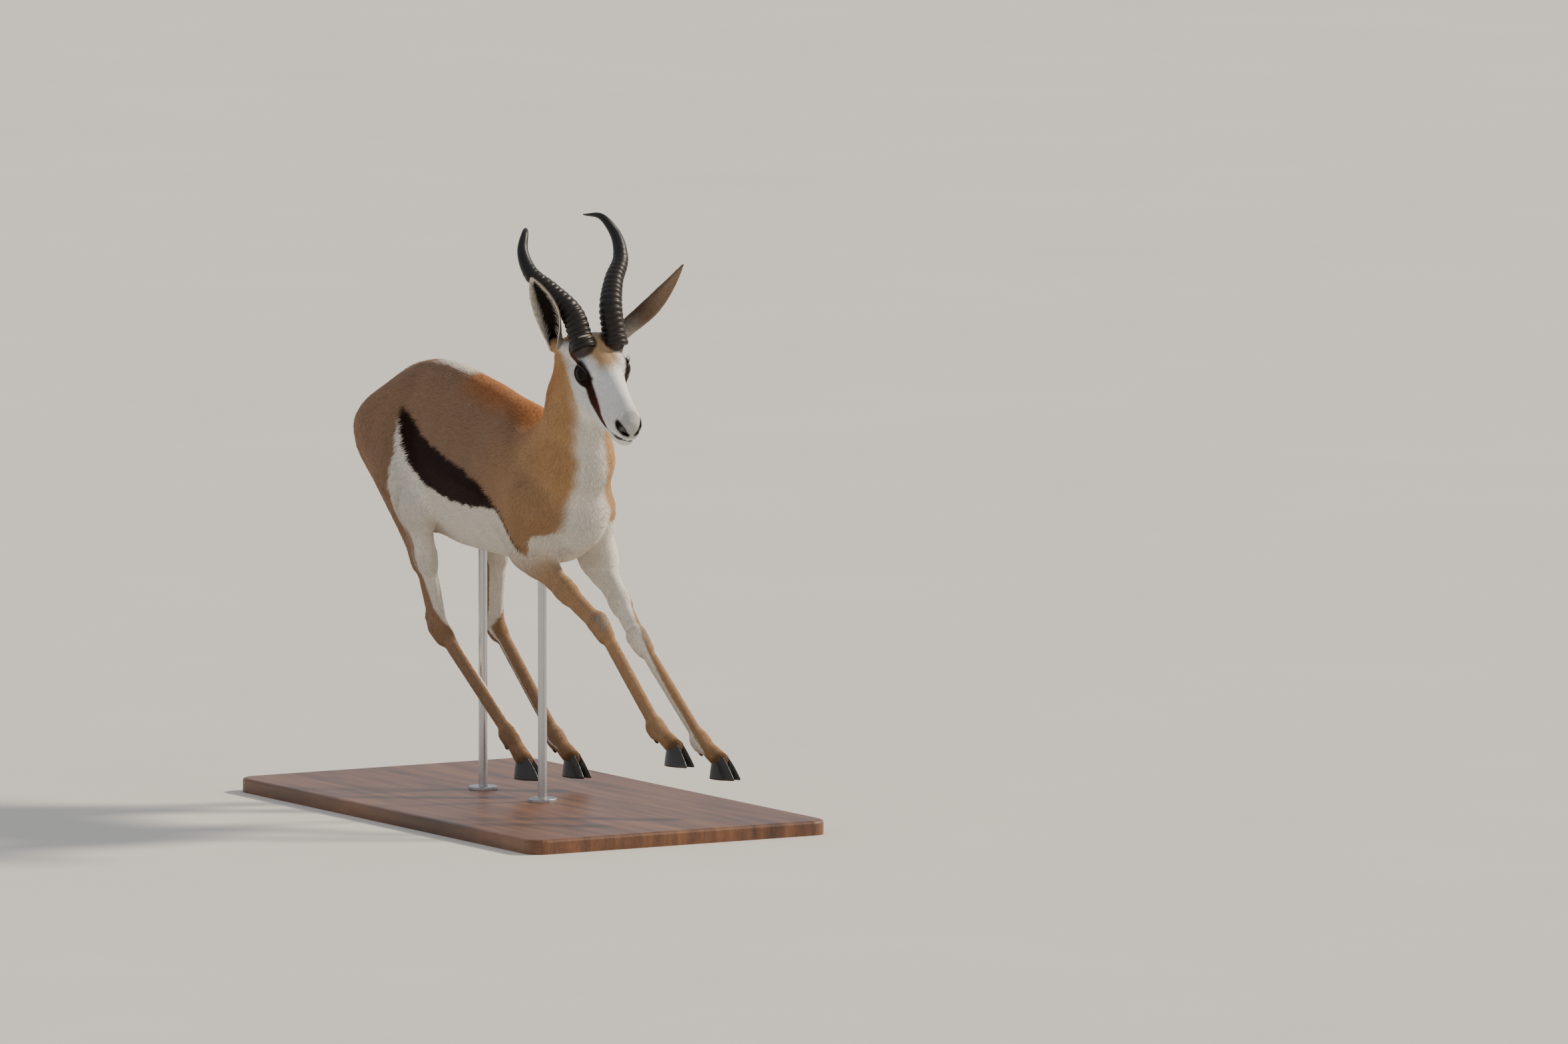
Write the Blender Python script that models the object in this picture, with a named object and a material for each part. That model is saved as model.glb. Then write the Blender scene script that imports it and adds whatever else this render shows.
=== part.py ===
"""A springbok ram in a banking leap, life size, as a still model on a plain display stand.

The animal is worked out as one smooth field made of named forms: tapered limbs, muscles and a
trunk profile, each blended into its neighbours. The field is meshed on a grid, thinned to few
triangles, and parted with thin cuts where a person would name its parts.
Metres, +X the way the trunk heads, +Y its left, +Z up, origin under the middle of the base.
"""

import math

import bmesh
import bpy
import numpy as np
from mathutils import Matrix, Vector

# Where the animal's own frame stands over the base, and the pose of its trunk, which banks to its
# right and is tipped a little onto the forehand.
PLACE = np.array([-0.045, -0.052, 0.012])
TRUNK_ROLL = 8.9
TRUNK_PITCH = 3.2
TRUNK_PIVOT = np.array([0.0, 0.0, 0.60])

# Limb bones, from joint to joint.
HUMERUS = 0.125
FOREARM = 0.205
FORE_CANNON = 0.205
TIBIA = 0.235
FEMUR = 0.190
HIND_CANNON = 0.235
PASTERN = 0.056

# Stance of each limb: degrees forward of straight down, and degrees towards the animal's left.
FORE_POSE = {
    "right": {"humerus": (-30, 10), "forearm": (51, 12.5), "cannon": (32.5, 7.5), "pastern": (58, 8)},
    "left": {"humerus": (-30, 17.4), "forearm": (54, -7.3), "cannon": (29, 12.5), "pastern": (55, 12)},
}
HIND_POSE = {
    "right": {"femur": (49.5, -9), "tibia": (-1.8, 7.3), "cannon": (40, 8), "pastern": (37, 8)},
    "left": {"femur": (39, 6.5), "tibia": (-4, -7.0), "cannon": (34, 6), "pastern": (54, 6)},
}
SHOULDER_POINT = {"right": (0.262, -0.078, 0.600), "left": (0.238, 0.058, 0.545)}
HIP_JOINT = (-0.270, 0.068, 0.655)
SIDES = {"right": -1.0, "left": 1.0}

# Radii of each stretch of a limb, sideways and fore-and-aft, at its upper and at its lower end.
SHOULDER_RADII = {
    "blade": ((0.018, 0.038), (0.022, 0.034)),
    "triceps": ((0.022, 0.050), (0.024, 0.030)),
    "upper_arm": ((0.024, 0.034), (0.022, 0.030)),
}
FORELEG_RADII = {
    "point_of_elbow": ((0.012, 0.014), (0.018, 0.024)),
    "forearm": ((0.0225, 0.031), (0.0170, 0.0210)),
    "lower_forearm": ((0.0165, 0.020), (0.0135, 0.0155)),
    "knee": ((0.0175, 0.0185), (0.0160, 0.0170)),
    "cannon": ((0.0110, 0.0105), (0.0105, 0.0095)),
    "tendon": ((0.0075, 0.0080), (0.0070, 0.0075)),
    "fetlock": ((0.0145, 0.0160), (0.0150, 0.0165)),
    "pastern": ((0.0130, 0.0125), (0.0155, 0.0150)),
}
HAUNCH_RADII = {
    "loin": ((0.034, 0.048), (0.038, 0.043)),
    "thigh": ((0.044, 0.060), (0.021, 0.027)),
    "hamstring": ((0.034, 0.046), (0.015, 0.022)),
    "flank_fold": ((0.009, 0.021), (0.011, 0.015)),
}
HINDLEG_RADII = {
    "gaskin": ((0.0190, 0.027), (0.0155, 0.0225)),
    "lower_gaskin": ((0.0160, 0.0220), (0.0135, 0.0165)),
    "heel_cord": ((0.0090, 0.0120), (0.0080, 0.0085)),
    "heel": ((0.0100, 0.0110), (0.0120, 0.0140)),
    "hock": ((0.0165, 0.0200), (0.0150, 0.0175)),
    "cannon": ((0.0115, 0.0120), (0.0105, 0.0095)),
    "tendon": ((0.0080, 0.0090), (0.0070, 0.0075)),
    "fetlock": ((0.0145, 0.0165), (0.0150, 0.0170)),
    "pastern": ((0.0130, 0.0125), (0.0155, 0.0150)),
}
# How far each cannon bone lies ahead of its joints' line, and its tendon behind it.
BONE_AHEAD = 0.005
TENDON_BEHIND = 0.005

# The trunk, from the buttocks to the breast: x, back line, belly line, half width, narrowing above and below.
TRUNK_STATIONS = [
    (-0.365, 0.634, 0.588, 0.038, 0.15, 0.0),
    (-0.335, 0.672, 0.560, 0.064, 0.30, 0.0),
    (-0.280, 0.727, 0.526, 0.082, 0.38, 0.0),
    (-0.210, 0.765, 0.474, 0.091, 0.36, 0.05),
    (-0.120, 0.780, 0.449, 0.093, 0.36, 0.10),
    (-0.030, 0.773, 0.447, 0.100, 0.38, 0.15),
    (0.060, 0.761, 0.449, 0.106, 0.45, 0.20),
    (0.140, 0.742, 0.451, 0.102, 0.58, 0.30),
    (0.205, 0.697, 0.460, 0.088, 0.62, 0.40),
    (0.265, 0.655, 0.476, 0.070, 0.50, 0.42),
    (0.312, 0.625, 0.504, 0.050, 0.30, 0.38),
]

# The neck's middle line, with its radii sideways and fore-and-aft.
NECK = [
    ((0.225, -0.002, 0.590), 0.070, 0.085),
    ((0.300, -0.004, 0.655), 0.060, 0.073),
    ((0.333, -0.012, 0.745), 0.047, 0.060),
    ((0.360, -0.026, 0.826), 0.040, 0.050),
]

# The muscle that fills the front between the shoulders, from its top down.
BREAST = np.array([(0.282, 0.011, 0.630), (0.270, 0.009, 0.562)])

# Head: the poll's place, and how it is turned, tipped and rolled.
POLL = np.array([0.385, -0.021, 0.870])
HEAD_YAW = -6.0
HEAD_PITCH = 31.5
HEAD_ROLL = 5.5
EYE_PLACE = (0.0775, 0.0300, -0.0180)
EYE_WAY = (0.52, 1.0, 0.22)
EYE_RADIUS = 0.0203
EYE_SLIT = (0.0198, 0.0136)
LID = 0.0026

# The head from the poll to the nose, in its own frame.
HEAD_STATIONS = [
    (-0.012, -0.010, -0.078, 0.030, 0.25, 0.10),
    (0.015, 0.006, -0.096, 0.039, 0.30, 0.25),
    (0.045, 0.014, -0.107, 0.043, 0.25, 0.45),
    (0.080, 0.014, -0.112, 0.044, 0.22, 0.42),
    (0.110, 0.010, -0.107, 0.0395, 0.28, 0.30),
    (0.140, 0.006, -0.098, 0.0345, 0.36, 0.18),
    (0.170, 0.003, -0.089, 0.0312, 0.38, 0.12),
    (0.195, 0.001, -0.080, 0.0285, 0.34, 0.15),
    (0.213, -0.004, -0.073, 0.0255, 0.22, 0.25),
    (0.226, -0.014, -0.063, 0.0185, 0.10, 0.20),
]
MOUTH_HALF = [
    (0.184, 0.0300, -0.0605), (0.198, 0.0285, -0.0592), (0.211, 0.0245, -0.0580), (0.2215, 0.0175, -0.0566),
    (0.2275, 0.0085, -0.0560),
]
MOUTH_MIDDLE = (0.229, 0, -0.0558)
NOSTRIL = [(0.2300, 0.0065, -0.0415), (0.2265, 0.0165, -0.0345), (0.2145, 0.0265, -0.0240)]
NOSTRIL_RADII = [0.0010, 0.0026, 0.0040, 0.0048, 0.0044, 0.0030, 0.0012]

# Horns, ears, hooves and tail.
HORN_BASE = (0.041, 0.031, 0.0205)
HORN_PATH = [
    (0.0, 0.0, 0.0), (-0.038, 0.002, 0.035), (-0.091, 0.024, 0.054), (-0.141, 0.054, 0.065),
    (-0.184, 0.058, 0.082), (-0.216, 0.042, 0.098), (-0.251, 0.022, 0.080),
]
HORN_RADII = [0.0218, 0.0202, 0.0168, 0.0134, 0.0098, 0.0060, 0.0012]
HORN_SHIFT = {
    "right": [
        (0, 0, 0), (-0.003, 0.002, -0.007), (-0.007, 0.002, -0.012), (-0.006, -0.004, -0.012),
        (-0.003, -0.006, -0.011), (-0.002, -0.004, -0.013), (0, 0, -0.013),
    ],
    "left": [(0, 0, 0.0006 * i) for i in range(7)],
}
HORN_RINGS = 19
HORN_RINGED_SHARE = 0.66
HORN_STEPS = 200
RING_DEPTH = 0.055
EAR_BASE = (-0.006, 0.055, -0.020)
EAR_LENGTH = 0.172
EAR_AXIS = {"right": (0.478, -0.590, 0.735), "left": (-0.032, 0.710, 0.701)}
EAR_OPENING = {"right": (0.45, -0.66, -0.60), "left": (-0.79, -0.24, 0.54)}
EAR_WALL = 0.0022
EAR_LEAN = 0.010
# Share of the ear's length, radius of its section and half the angle that the section spans.
EAR_STATIONS = [
    (0.00, 0.0136, 150), (0.10, 0.0152, 128), (0.25, 0.0205, 92), (0.42, 0.0270, 70),
    (0.60, 0.0265, 62), (0.78, 0.0195, 56), (0.92, 0.0105, 52), (1.00, 0.0030, 50),
]
HOOF_HEIGHT = 0.033
HOOF_SPLIT = 0.0012
HOOF_INNER = 0.75
HOOF_TAPER = 0.55
SOLE_AHEAD = 0.012
CORONET_TILT = (0.55, 0.80)
# Share of the way down a toe's hoof, its length, its width and how far it leans out.
HOOF_RINGS = [
    (0.0, 0.029, 0.0148, 0.0), (0.40, 0.041, 0.0165, 0.0003), (0.95, 0.0550, 0.0180, 0.0014),
    (1.0, 0.0525, 0.0165, 0.0014),
]
TAIL_ROOT = (-0.379, 0, 0.655)
TAIL_WAY = (-0.055, 0, -0.030)
TAIL_ROOM = 0.0015
TAIL_RADII = ([0, 0.25, 0.6, 0.75, 0.9, 1], [0.0115, 0.0090, 0.0072, 0.0085, 0.0080, 0.0020])
TAIL_LOCKS = 7
LOCK_RADII = [0.0045, 0.0060, 0.0050, 0.0008]
TAIL_PATH = [
    (-0.015, 0, -0.007), (-0.029, 0.002, -0.026), (-0.033, 0.010, -0.070), (-0.024, 0.024, -0.117),
    (-0.006, 0.036, -0.160),
]

# Stand.
BASE_SIZE = (1.08, 0.60, 0.026)
BASE_CORNER = 0.030
BASE_EDGE = 0.005
ROD_RADIUS = 0.008
ROD_FLANGE = (0.026, 0.006)
FLANGE_EASE = 0.0015
ROD_DEPTH = 0.030
RODS = {"stand_rod_front": (0.055, -0.007), "stand_rod_rear": (-0.155, -0.010)}

# Where the animal is parted: a point of the barrel, a point and a direction for the neck's two ends,
# shares of a bone for the forearm and gaskin, and distances from a joint for the cannons.
BARREL_CUT = (-0.050, 0, 0.615)
NECK_CUT = ((0.3165, -0.0115, 0.702), (0.40, -0.03, 0.917))
HEAD_CUT = ((0.345, -0.027, 0.800), (0.857, 0.0, 0.514))
FOREARM_CUT = 0.42
GASKIN_CUT = 0.42
UNDER_KNEE = 0.022
UNDER_HOCK = 0.034
OVER_FETLOCK = 0.022

# The gap between touching pieces, the grids' steps and how many triangles are kept.
GAP = 0.0003
BODY_BOX = ((-0.48, -0.30, 0.0), (0.56, 0.32, 0.97))
BODY_STEP = 0.0042
HEAD_MIDDLE = (0.10, 0, -0.03)
HEAD_ROOM = (0.19, 0.12, 0.16)
HEAD_STEP = 0.0017
BODY_TRIANGLES = 5400
HEAD_TRIANGLES = 3300


def unit(v):
    v = np.asarray(v, float)
    return v / np.linalg.norm(v)


def turn(axis, degrees):
    return np.array(Matrix.Rotation(math.radians(degrees), 3, Vector(axis)))


def along(forward, left):
    """The direction so many degrees forward of straight down, and so many towards the left."""
    f, s = math.radians(forward), math.radians(left)
    return np.array([math.sin(f) * math.cos(s), math.sin(s), -math.cos(f) * math.cos(s)])


TRUNK_TURN = turn((1, 0, 0), TRUNK_ROLL) @ turn((0, 1, 0), TRUNK_PITCH)


def trunk_point(p):
    """A point of the upright trunk, banked and tipped into its place."""
    return TRUNK_TURN @ (np.asarray(p, float) - TRUNK_PIVOT) + TRUNK_PIVOT + PLACE


HEAD_TURN = turn((0, 0, 1), HEAD_YAW) @ turn((0, 1, 0), HEAD_PITCH) @ turn((1, 0, 0), HEAD_ROLL)


def head_point(p):
    """A point of the head's own frame: +X from the poll to the nose, +Y left, +Z out of the brow."""
    return POLL + PLACE + HEAD_TURN @ np.asarray(p, float)


def chain(start, bones, pose):
    """Joints one after another: each is the last one plus the bone's length along its direction."""
    places = [np.array(start, float)]
    for bone, length in bones.items():
        places.append(places[-1] + length * along(*pose[bone]))
    return [trunk_point(p) for p in places]


def limb_joints():
    """Every limb joint in place, from the bone lengths and the stance."""
    fore_bones = {"humerus": HUMERUS, "forearm": FOREARM, "cannon": FORE_CANNON, "pastern": PASTERN}
    hind_bones = {"femur": FEMUR, "tibia": TIBIA, "cannon": HIND_CANNON, "pastern": PASTERN}
    joints = {}
    for side, sign in SIDES.items():
        x, y, z = HIP_JOINT
        joints["fore", side] = chain(SHOULDER_POINT[side], fore_bones, FORE_POSE[side])
        joints["hind", side] = chain((x, sign * y, z), hind_bones, HIND_POSE[side])
    return joints


JOINTS = limb_joints()
LEFTWARD = TRUNK_TURN @ np.array([0.0, 1.0, 0.0])
REACH = 0.012


def smooth_curve(stations, column):
    """A function through the stations' values: cubic pieces with the mean slope at each station."""
    xs = np.array([s[0] for s in stations], float)
    ys = np.array([s[column] for s in stations], float)
    slope = np.gradient(ys, xs)

    def value(x):
        x = np.clip(x, xs[0], xs[-1])
        i = np.clip(np.searchsorted(xs, x, side="right") - 1, 0, len(xs) - 2)
        h = xs[i + 1] - xs[i]
        t = (x - xs[i]) / h
        a, b = 2 * t**3 - 3 * t**2 + 1, t**3 - 2 * t**2 + t
        return a * ys[i] + b * h * slope[i] + (1 - a) * ys[i + 1] + (t**3 - t**2) * h * slope[i + 1]

    return value


def tapered(a, b, ra, rb, side=LEFTWARD, blend=0.012, sign=1):
    """A limb from a to b. Its section is an ellipse of radii (side, fore-and-aft), ra at a and rb at b."""
    a, b = np.asarray(a, float), np.asarray(b, float)
    length = np.linalg.norm(b - a)
    e1 = (b - a) / length
    e2 = unit(np.asarray(side) - np.dot(side, e1) * e1)
    e3 = np.cross(e1, e2)

    def field(p):
        q = p - a
        t = q @ e1
        inside = np.clip(t, 0, length)
        k = inside / length
        r2, r3 = ra[0] + (rb[0] - ra[0]) * k, ra[1] + (rb[1] - ra[1]) * k
        cap = np.sqrt(r2 * r3)
        r = np.sqrt((q @ e2 / r2) ** 2 + (q @ e3 / r3) ** 2 + ((t - inside) / cap) ** 2)
        return (r - 1) * np.minimum(r2, r3)

    reach = max(*ra, *rb) + blend + REACH
    return (np.minimum(a, b) - reach, np.maximum(a, b) + reach, blend, sign, field)


def lump(centre, radii, axes, blend=0.012, sign=1):
    """An egg with three radii along the rows of axes."""
    centre, radii = np.asarray(centre, float), np.asarray(radii, float)
    frame = np.asarray(axes, float)

    def field(p):
        q = (p - centre) @ frame.T
        return (np.sqrt(((q / radii) ** 2).sum(1)) - 1) * radii.min()

    reach = radii.max() + blend + REACH
    return (centre - reach, centre + reach, blend, sign, field)


def profile(place, turned, stations, blend, squareness=2.2, end=0.6):
    """A body along its own x. Stations are (x, top, bottom, half width, narrowing above, narrowing below)."""
    top, bottom, width, upper, lower = (smooth_curve(stations, c) for c in range(1, 6))
    x0, x1 = stations[0][0], stations[-1][0]
    corners = []
    for x, t, b, w, _, _ in stations:
        corners += [place(np.array([x, y, z])) for y in (-w, w) for z in (t, b)]
    corners = np.array(corners)
    origin = place(np.zeros(3))

    def field(p):
        q = (p - origin) @ turned
        x = np.clip(q[:, 0], x0, x1)
        high, low = top(x), bottom(x)
        half = (high - low) / 2
        zeta = (q[:, 2] - (high + low) / 2) / half
        narrow = 1 - upper(x) * np.clip(zeta, 0, 1) - lower(x) * np.clip(-zeta, 0, 1)
        w = width(x) * np.clip(narrow, 0.25, 1)
        cap = np.minimum(half, width(x)) * end
        r = (np.abs(q[:, 1] / w) ** squareness + np.abs(zeta) ** squareness) ** (1 / squareness)
        r = np.sqrt(r**2 + ((q[:, 0] - x) / cap) ** 2)
        return (r - 1) * np.minimum(half, w)

    reach = 0.03 + blend
    return (corners.min(0) - reach, corners.max(0) + reach, blend, 1, field)


def trunk_forms():
    return [profile(trunk_point, TRUNK_TURN, TRUNK_STATIONS, 0.02)]


def tail_root_forms():
    rump = trunk_point((-0.335, 0, 0.672))
    return [tapered(rump, trunk_point(TAIL_ROOT), (0.020, 0.022), (0.0125, 0.0115), blend=0.02)]


def mid(a, b, t):
    return np.asarray(a) + (np.asarray(b) - np.asarray(a)) * t


def shoulder_forms(side):
    """Blade, upper arm and the triceps behind it."""
    sign = SIDES[side]
    shoulder, elbow, knee = JOINTS["fore", side][:3]
    blade_top = trunk_point((0.142, sign * 0.036, 0.668))
    triceps_top = trunk_point((0.135, sign * 0.062, 0.625))
    return [
        tapered(blade_top, shoulder, *SHOULDER_RADII["blade"], blend=0.050),
        tapered(triceps_top, mid(elbow, shoulder, 0.15), *SHOULDER_RADII["triceps"], blend=0.045),
        tapered(shoulder, elbow, *SHOULDER_RADII["upper_arm"], blend=0.038),
    ]


def foreleg_forms(side):
    """From the point of the elbow down to the hoof, with the tendons behind the cannon bone."""
    _, elbow, knee, fetlock, coronet = JOINTS["fore", side]
    radii = FORELEG_RADII
    down = unit(fetlock - knee)
    back = unit(np.cross(LEFTWARD, down))
    arm_back = unit(np.cross(LEFTWARD, knee - elbow))
    point = elbow + arm_back * 0.010 - (knee - elbow) * 0.05
    bone, tendon = -back * BONE_AHEAD, back * TENDON_BEHIND
    return [
        tapered(point, mid(elbow, knee, 0.12), *radii["point_of_elbow"], blend=0.014),
        tapered(elbow, mid(elbow, knee, 0.55), *radii["forearm"], blend=0.020),
        tapered(mid(elbow, knee, 0.5), knee, *radii["lower_forearm"], blend=0.010),
        tapered(knee - down * 0.012, knee + down * 0.014, *radii["knee"], blend=0.010),
        tapered(knee + bone, fetlock + bone, *radii["cannon"], blend=0.006),
        tapered(knee + tendon, fetlock + tendon, *radii["tendon"], blend=0.006),
        tapered(fetlock - down * 0.004, fetlock + down * 0.006, *radii["fetlock"], blend=0.010),
        tapered(fetlock, coronet, *radii["pastern"], blend=0.010),
    ]


def haunch_forms(side):
    """Thigh, hamstrings and flank fold."""
    sign = SIDES[side]
    hip, stifle, hock = JOINTS["hind", side][:3]
    seat = trunk_point((-0.338, sign * 0.043, 0.640))
    gaskin = mid(stifle, hock, 0.42) - TRUNK_TURN @ np.array([0.012, 0, 0])
    loin = trunk_point((-0.215, sign * 0.046, 0.698))
    fold = trunk_point((-0.095, sign * 0.070, 0.560))
    return [
        tapered(loin, mid(hip, stifle, 0.6), *HAUNCH_RADII["loin"], blend=0.040),
        tapered(hip, stifle, *HAUNCH_RADII["thigh"], blend=0.035),
        tapered(seat, gaskin, *HAUNCH_RADII["hamstring"], blend=0.040),
        tapered(fold, mid(stifle, hock, 0.02), *HAUNCH_RADII["flank_fold"], blend=0.040),
    ]


def hindleg_forms(side):
    """From the stifle down to the hoof. The heel of the hock stands out behind, under its cord."""
    _, stifle, hock, fetlock, coronet = JOINTS["hind", side]
    radii = HINDLEG_RADII
    down, shin = unit(fetlock - hock), unit(hock - stifle)
    back, shin_back = unit(np.cross(LEFTWARD, down)), unit(np.cross(LEFTWARD, shin))
    heel = hock + shin_back * 0.022 - shin * 0.020
    cord = mid(stifle, hock, 0.42) + shin_back * 0.015
    bone, tendon = -back * BONE_AHEAD, back * TENDON_BEHIND
    return [
        tapered(stifle, mid(stifle, hock, 0.45), *radii["gaskin"], blend=0.025),
        tapered(mid(stifle, hock, 0.4), hock, *radii["lower_gaskin"], blend=0.012),
        tapered(cord, heel, *radii["heel_cord"], blend=0.010),
        tapered(heel, hock + back * 0.008 + down * 0.012, *radii["heel"], blend=0.010),
        tapered(hock - down * 0.008, hock + down * 0.018, *radii["hock"], blend=0.010),
        tapered(hock + bone, fetlock + bone, *radii["cannon"], blend=0.006),
        tapered(hock + tendon, fetlock + tendon, *radii["tendon"], blend=0.006),
        tapered(fetlock - down * 0.004, fetlock + down * 0.006, *radii["fetlock"], blend=0.010),
        tapered(fetlock, coronet, *radii["pastern"], blend=0.010),
    ]


def breast_forms():
    """The muscle that fills the front between the two shoulders."""
    return [tapered(PLACE + BREAST[0], PLACE + BREAST[1], (0.067, 0.047), (0.052, 0.041), blend=0.050)]


def neck_forms():
    return [
        tapered(PLACE + a, PLACE + b, (sa, fa), (sb, fb), blend=0.030)
        for (a, sa, fa), (b, sb, fb) in zip(NECK, NECK[1:])
    ]


def sided(p, sign):
    return head_point((p[0], sign * p[1], p[2]))


def head_forms():
    rows = HEAD_TURN.T
    forms = [profile(head_point, HEAD_TURN, HEAD_STATIONS, 0.012, 2.3, 0.5)]
    for side, sign in SIDES.items():
        x, y, z = EYE_PLACE
        horn = np.array(HORN_BASE)
        horn_low = sided(horn - (0.004, 0.006, 0.020), sign)
        horn_high = sided(horn + (-0.004, 0, 0.004), sign)
        ear_low = sided((0.008, 0.026, -0.022), sign)
        ear_high = sided(EAR_BASE, sign) + 0.004 * unit(EAR_AXIS[side])
        lid_axes = eye_axes(sign)
        forms += [
            lump(sided((0.052, 0.024, -0.068), sign), (0.042, 0.014, 0.032), rows, 0.014),
            lump(sided((x - 0.004, y - 0.008, z + 0.013), sign), (0.024, 0.013, 0.011), rows, 0.010),
            lump(sided((x, y, z), sign), [EYE_RADIUS + LID] * 3, lid_axes, 0.012),
            tapered(horn_low, horn_high, (0.022, 0.023), (0.0205, 0.0215), blend=0.012),
            tapered(ear_low, ear_high, (0.020, 0.021), (0.0130, 0.0138), blend=0.016),
            lump(sided((0.214, 0.0150, -0.034), sign), (0.013, 0.009, 0.013), rows, 0.006),
        ]
    forms.append(lump(head_point((0.196, 0.0, -0.066)), (0.024, 0.0175, 0.0130), rows, 0.014))
    forms.append(lump(head_point((0.032, 0.0, 0.000)), (0.032, 0.038, 0.019), rows, 0.014))
    return forms


def eye_axes(sign):
    """Rows: along the slit of the eye towards the nose, up across it, and out of the head."""
    out = unit(HEAD_TURN @ (np.array(EYE_WAY) * (1, sign, 1)))
    slit = HEAD_TURN @ np.array([0.96, 0.0, -0.26])
    slit = unit(slit - out * (slit @ out))
    return np.array([slit, np.cross(slit, out) * sign, out])


def mouth_line():
    """Points round the muzzle where the lips meet, from the right corner to the left."""
    right = [sided(p, -1) for p in MOUTH_HALF]
    left = [sided(p, 1) for p in reversed(MOUTH_HALF)]
    return right + [head_point(MOUTH_MIDDLE)] + left


def mouth_cut():
    """A fine tube along the line where the lips meet, half in the skin."""
    points = settle(body_forms(), curve_through(mouth_line(), 25), 6)
    share = np.linspace(-1, 1, len(points))
    return new_object("tool", *swept(points, 0.0021 - 0.0012 * share**4, 6))


def nostril_line(sign):
    return [sided(p, sign) for p in NOSTRIL]


def nostril_dents():
    """A soft hollow round each nostril."""
    cuts = []
    for sign in SIDES.values():
        a, b, c = nostril_line(sign)
        cuts.append(tapered(a, b, (0.0016, 0.0016), (0.0040, 0.0040), blend=0.005, sign=-1))
        cuts.append(tapered(b, c, (0.0040, 0.0040), (0.0016, 0.0016), blend=0.005, sign=-1))
    return cuts


def nostril_cut(side):
    """The comma-shaped opening itself."""
    path = curve_through(nostril_line(SIDES[side]), 7)
    inward = HEAD_TURN @ np.array([-0.0035, 0, 0])
    return new_object("tool", *swept(path + inward, NOSTRIL_RADII, 8))


def body_forms():
    forms = trunk_forms() + breast_forms() + neck_forms() + head_forms() + tail_root_forms()
    for side in SIDES:
        forms += shoulder_forms(side) + foreleg_forms(side) + haunch_forms(side) + hindleg_forms(side)
    return forms + nostril_dents()


def blended(old, new, blend, sign):
    """The smooth union of two fields, or the smooth cut of new out of old."""
    if sign < 0:
        return -blended(-old, new, blend, 1)
    h = np.maximum(blend - np.abs(old - new), 0) / blend
    return np.minimum(old, new) - h * h * blend / 4


def sample(forms, low, high, step):
    """The field on a grid of points, worked out form by form inside each form's box."""
    axes = [np.arange(low[i], high[i] + step, step) for i in range(3)]
    values = np.full([len(a) for a in axes], 0.05)
    for box_low, box_high, blend, sign, field in forms:
        cut = [slice(*np.searchsorted(a, (l, h))) for a, l, h in zip(axes, box_low, box_high)]
        grid = np.meshgrid(*(a[c] for a, c in zip(axes, cut)), indexing="ij")
        if not grid[0].size:
            continue
        points = np.stack([g.ravel() for g in grid], 1)
        new = field(points).reshape(grid[0].shape)
        values[tuple(cut)] = blended(values[tuple(cut)], new, blend, sign)
    return axes, untangled(values)


def field_at(forms, points):
    """The same field at loose points."""
    values = np.full(len(points), 0.05)
    for low, high, blend, sign, field in forms:
        near = ((points > low) & (points < high)).all(1)
        if near.any():
            values[near] = blended(values[near], field(points[near]), blend, sign)
    return values


def untangled(values, least=1e-5):
    """The same samples with no face of the grid crossed twice, so that the surface never touches itself."""
    for _ in range(12):
        changed = 0
        for axis in range(3):
            flat = np.moveaxis(values, axis, 0)
            corners = np.stack([flat[:, :-1, :-1], flat[:, :-1, 1:], flat[:, 1:, 1:], flat[:, 1:, :-1]])
            low = corners < 0
            crossed = np.argwhere((low[0] == low[2]) & (low[1] == low[3]) & (low[0] != low[1]))
            for i, j, k in crossed:
                four = corners[:, i, j, k]
                nearest = int(np.argmin(np.abs(four)))
                step_j, step_k = ((0, 0), (0, 1), (1, 1), (1, 0))[nearest]
                flat[i, j + step_j, k + step_k] = least if four[nearest] < 0 else -least
            changed += len(crossed)
        if not changed:
            break
    return values


def surface_net(axes, values):
    """One point in each cell that the surface crosses, and one four-sided face at each crossed grid edge."""
    inside = values < 0
    shape = np.array(values.shape) - 1
    sums, counts, cells_of, turned = [], [], [], []
    for axis in range(3):
        others = ((axis + 1) % 3, (axis + 2) % 3)
        head = np.moveaxis(inside, axis, 0)
        crossed = np.moveaxis(head[:-1] != head[1:], 0, axis)
        at = np.argwhere(crossed)
        at = at[(at[:, others[0]] > 0) & (at[:, others[1]] > 0)]
        at = at[(at[:, others[0]] < shape[others[0]]) & (at[:, others[1]] < shape[others[1]])]
        after = at.copy()
        after[:, axis] += 1
        v0, v1 = values[tuple(at.T)], values[tuple(after.T)]
        crossing = at.astype(float)
        crossing[:, axis] += v0 / (v0 - v1)
        ring = []
        for back in ((0, 0), (1, 0), (1, 1), (0, 1)):
            cell = at.copy()
            cell[:, others[0]] -= back[0]
            cell[:, others[1]] -= back[1]
            ring.append(np.ravel_multi_index(cell.T, values.shape))
        sums += [crossing] * 4
        cells_of += ring
        turned.append((np.stack(ring, 1), v0 > 0))
    cell = np.concatenate(cells_of)
    names, index = np.unique(cell, return_inverse=True)
    crossing = np.concatenate(sums)
    count = np.bincount(index)
    place = np.stack([np.bincount(index, crossing[:, i]) / count for i in range(3)], 1)
    points = np.stack([np.interp(place[:, i], np.arange(len(axes[i])), axes[i]) for i in range(3)], 1)
    faces = []
    for ring, flip in turned:
        quad = np.searchsorted(names, ring)
        quad[flip] = quad[flip][:, ::-1]
        faces.append(quad)
    return points, np.concatenate(faces)


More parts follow.
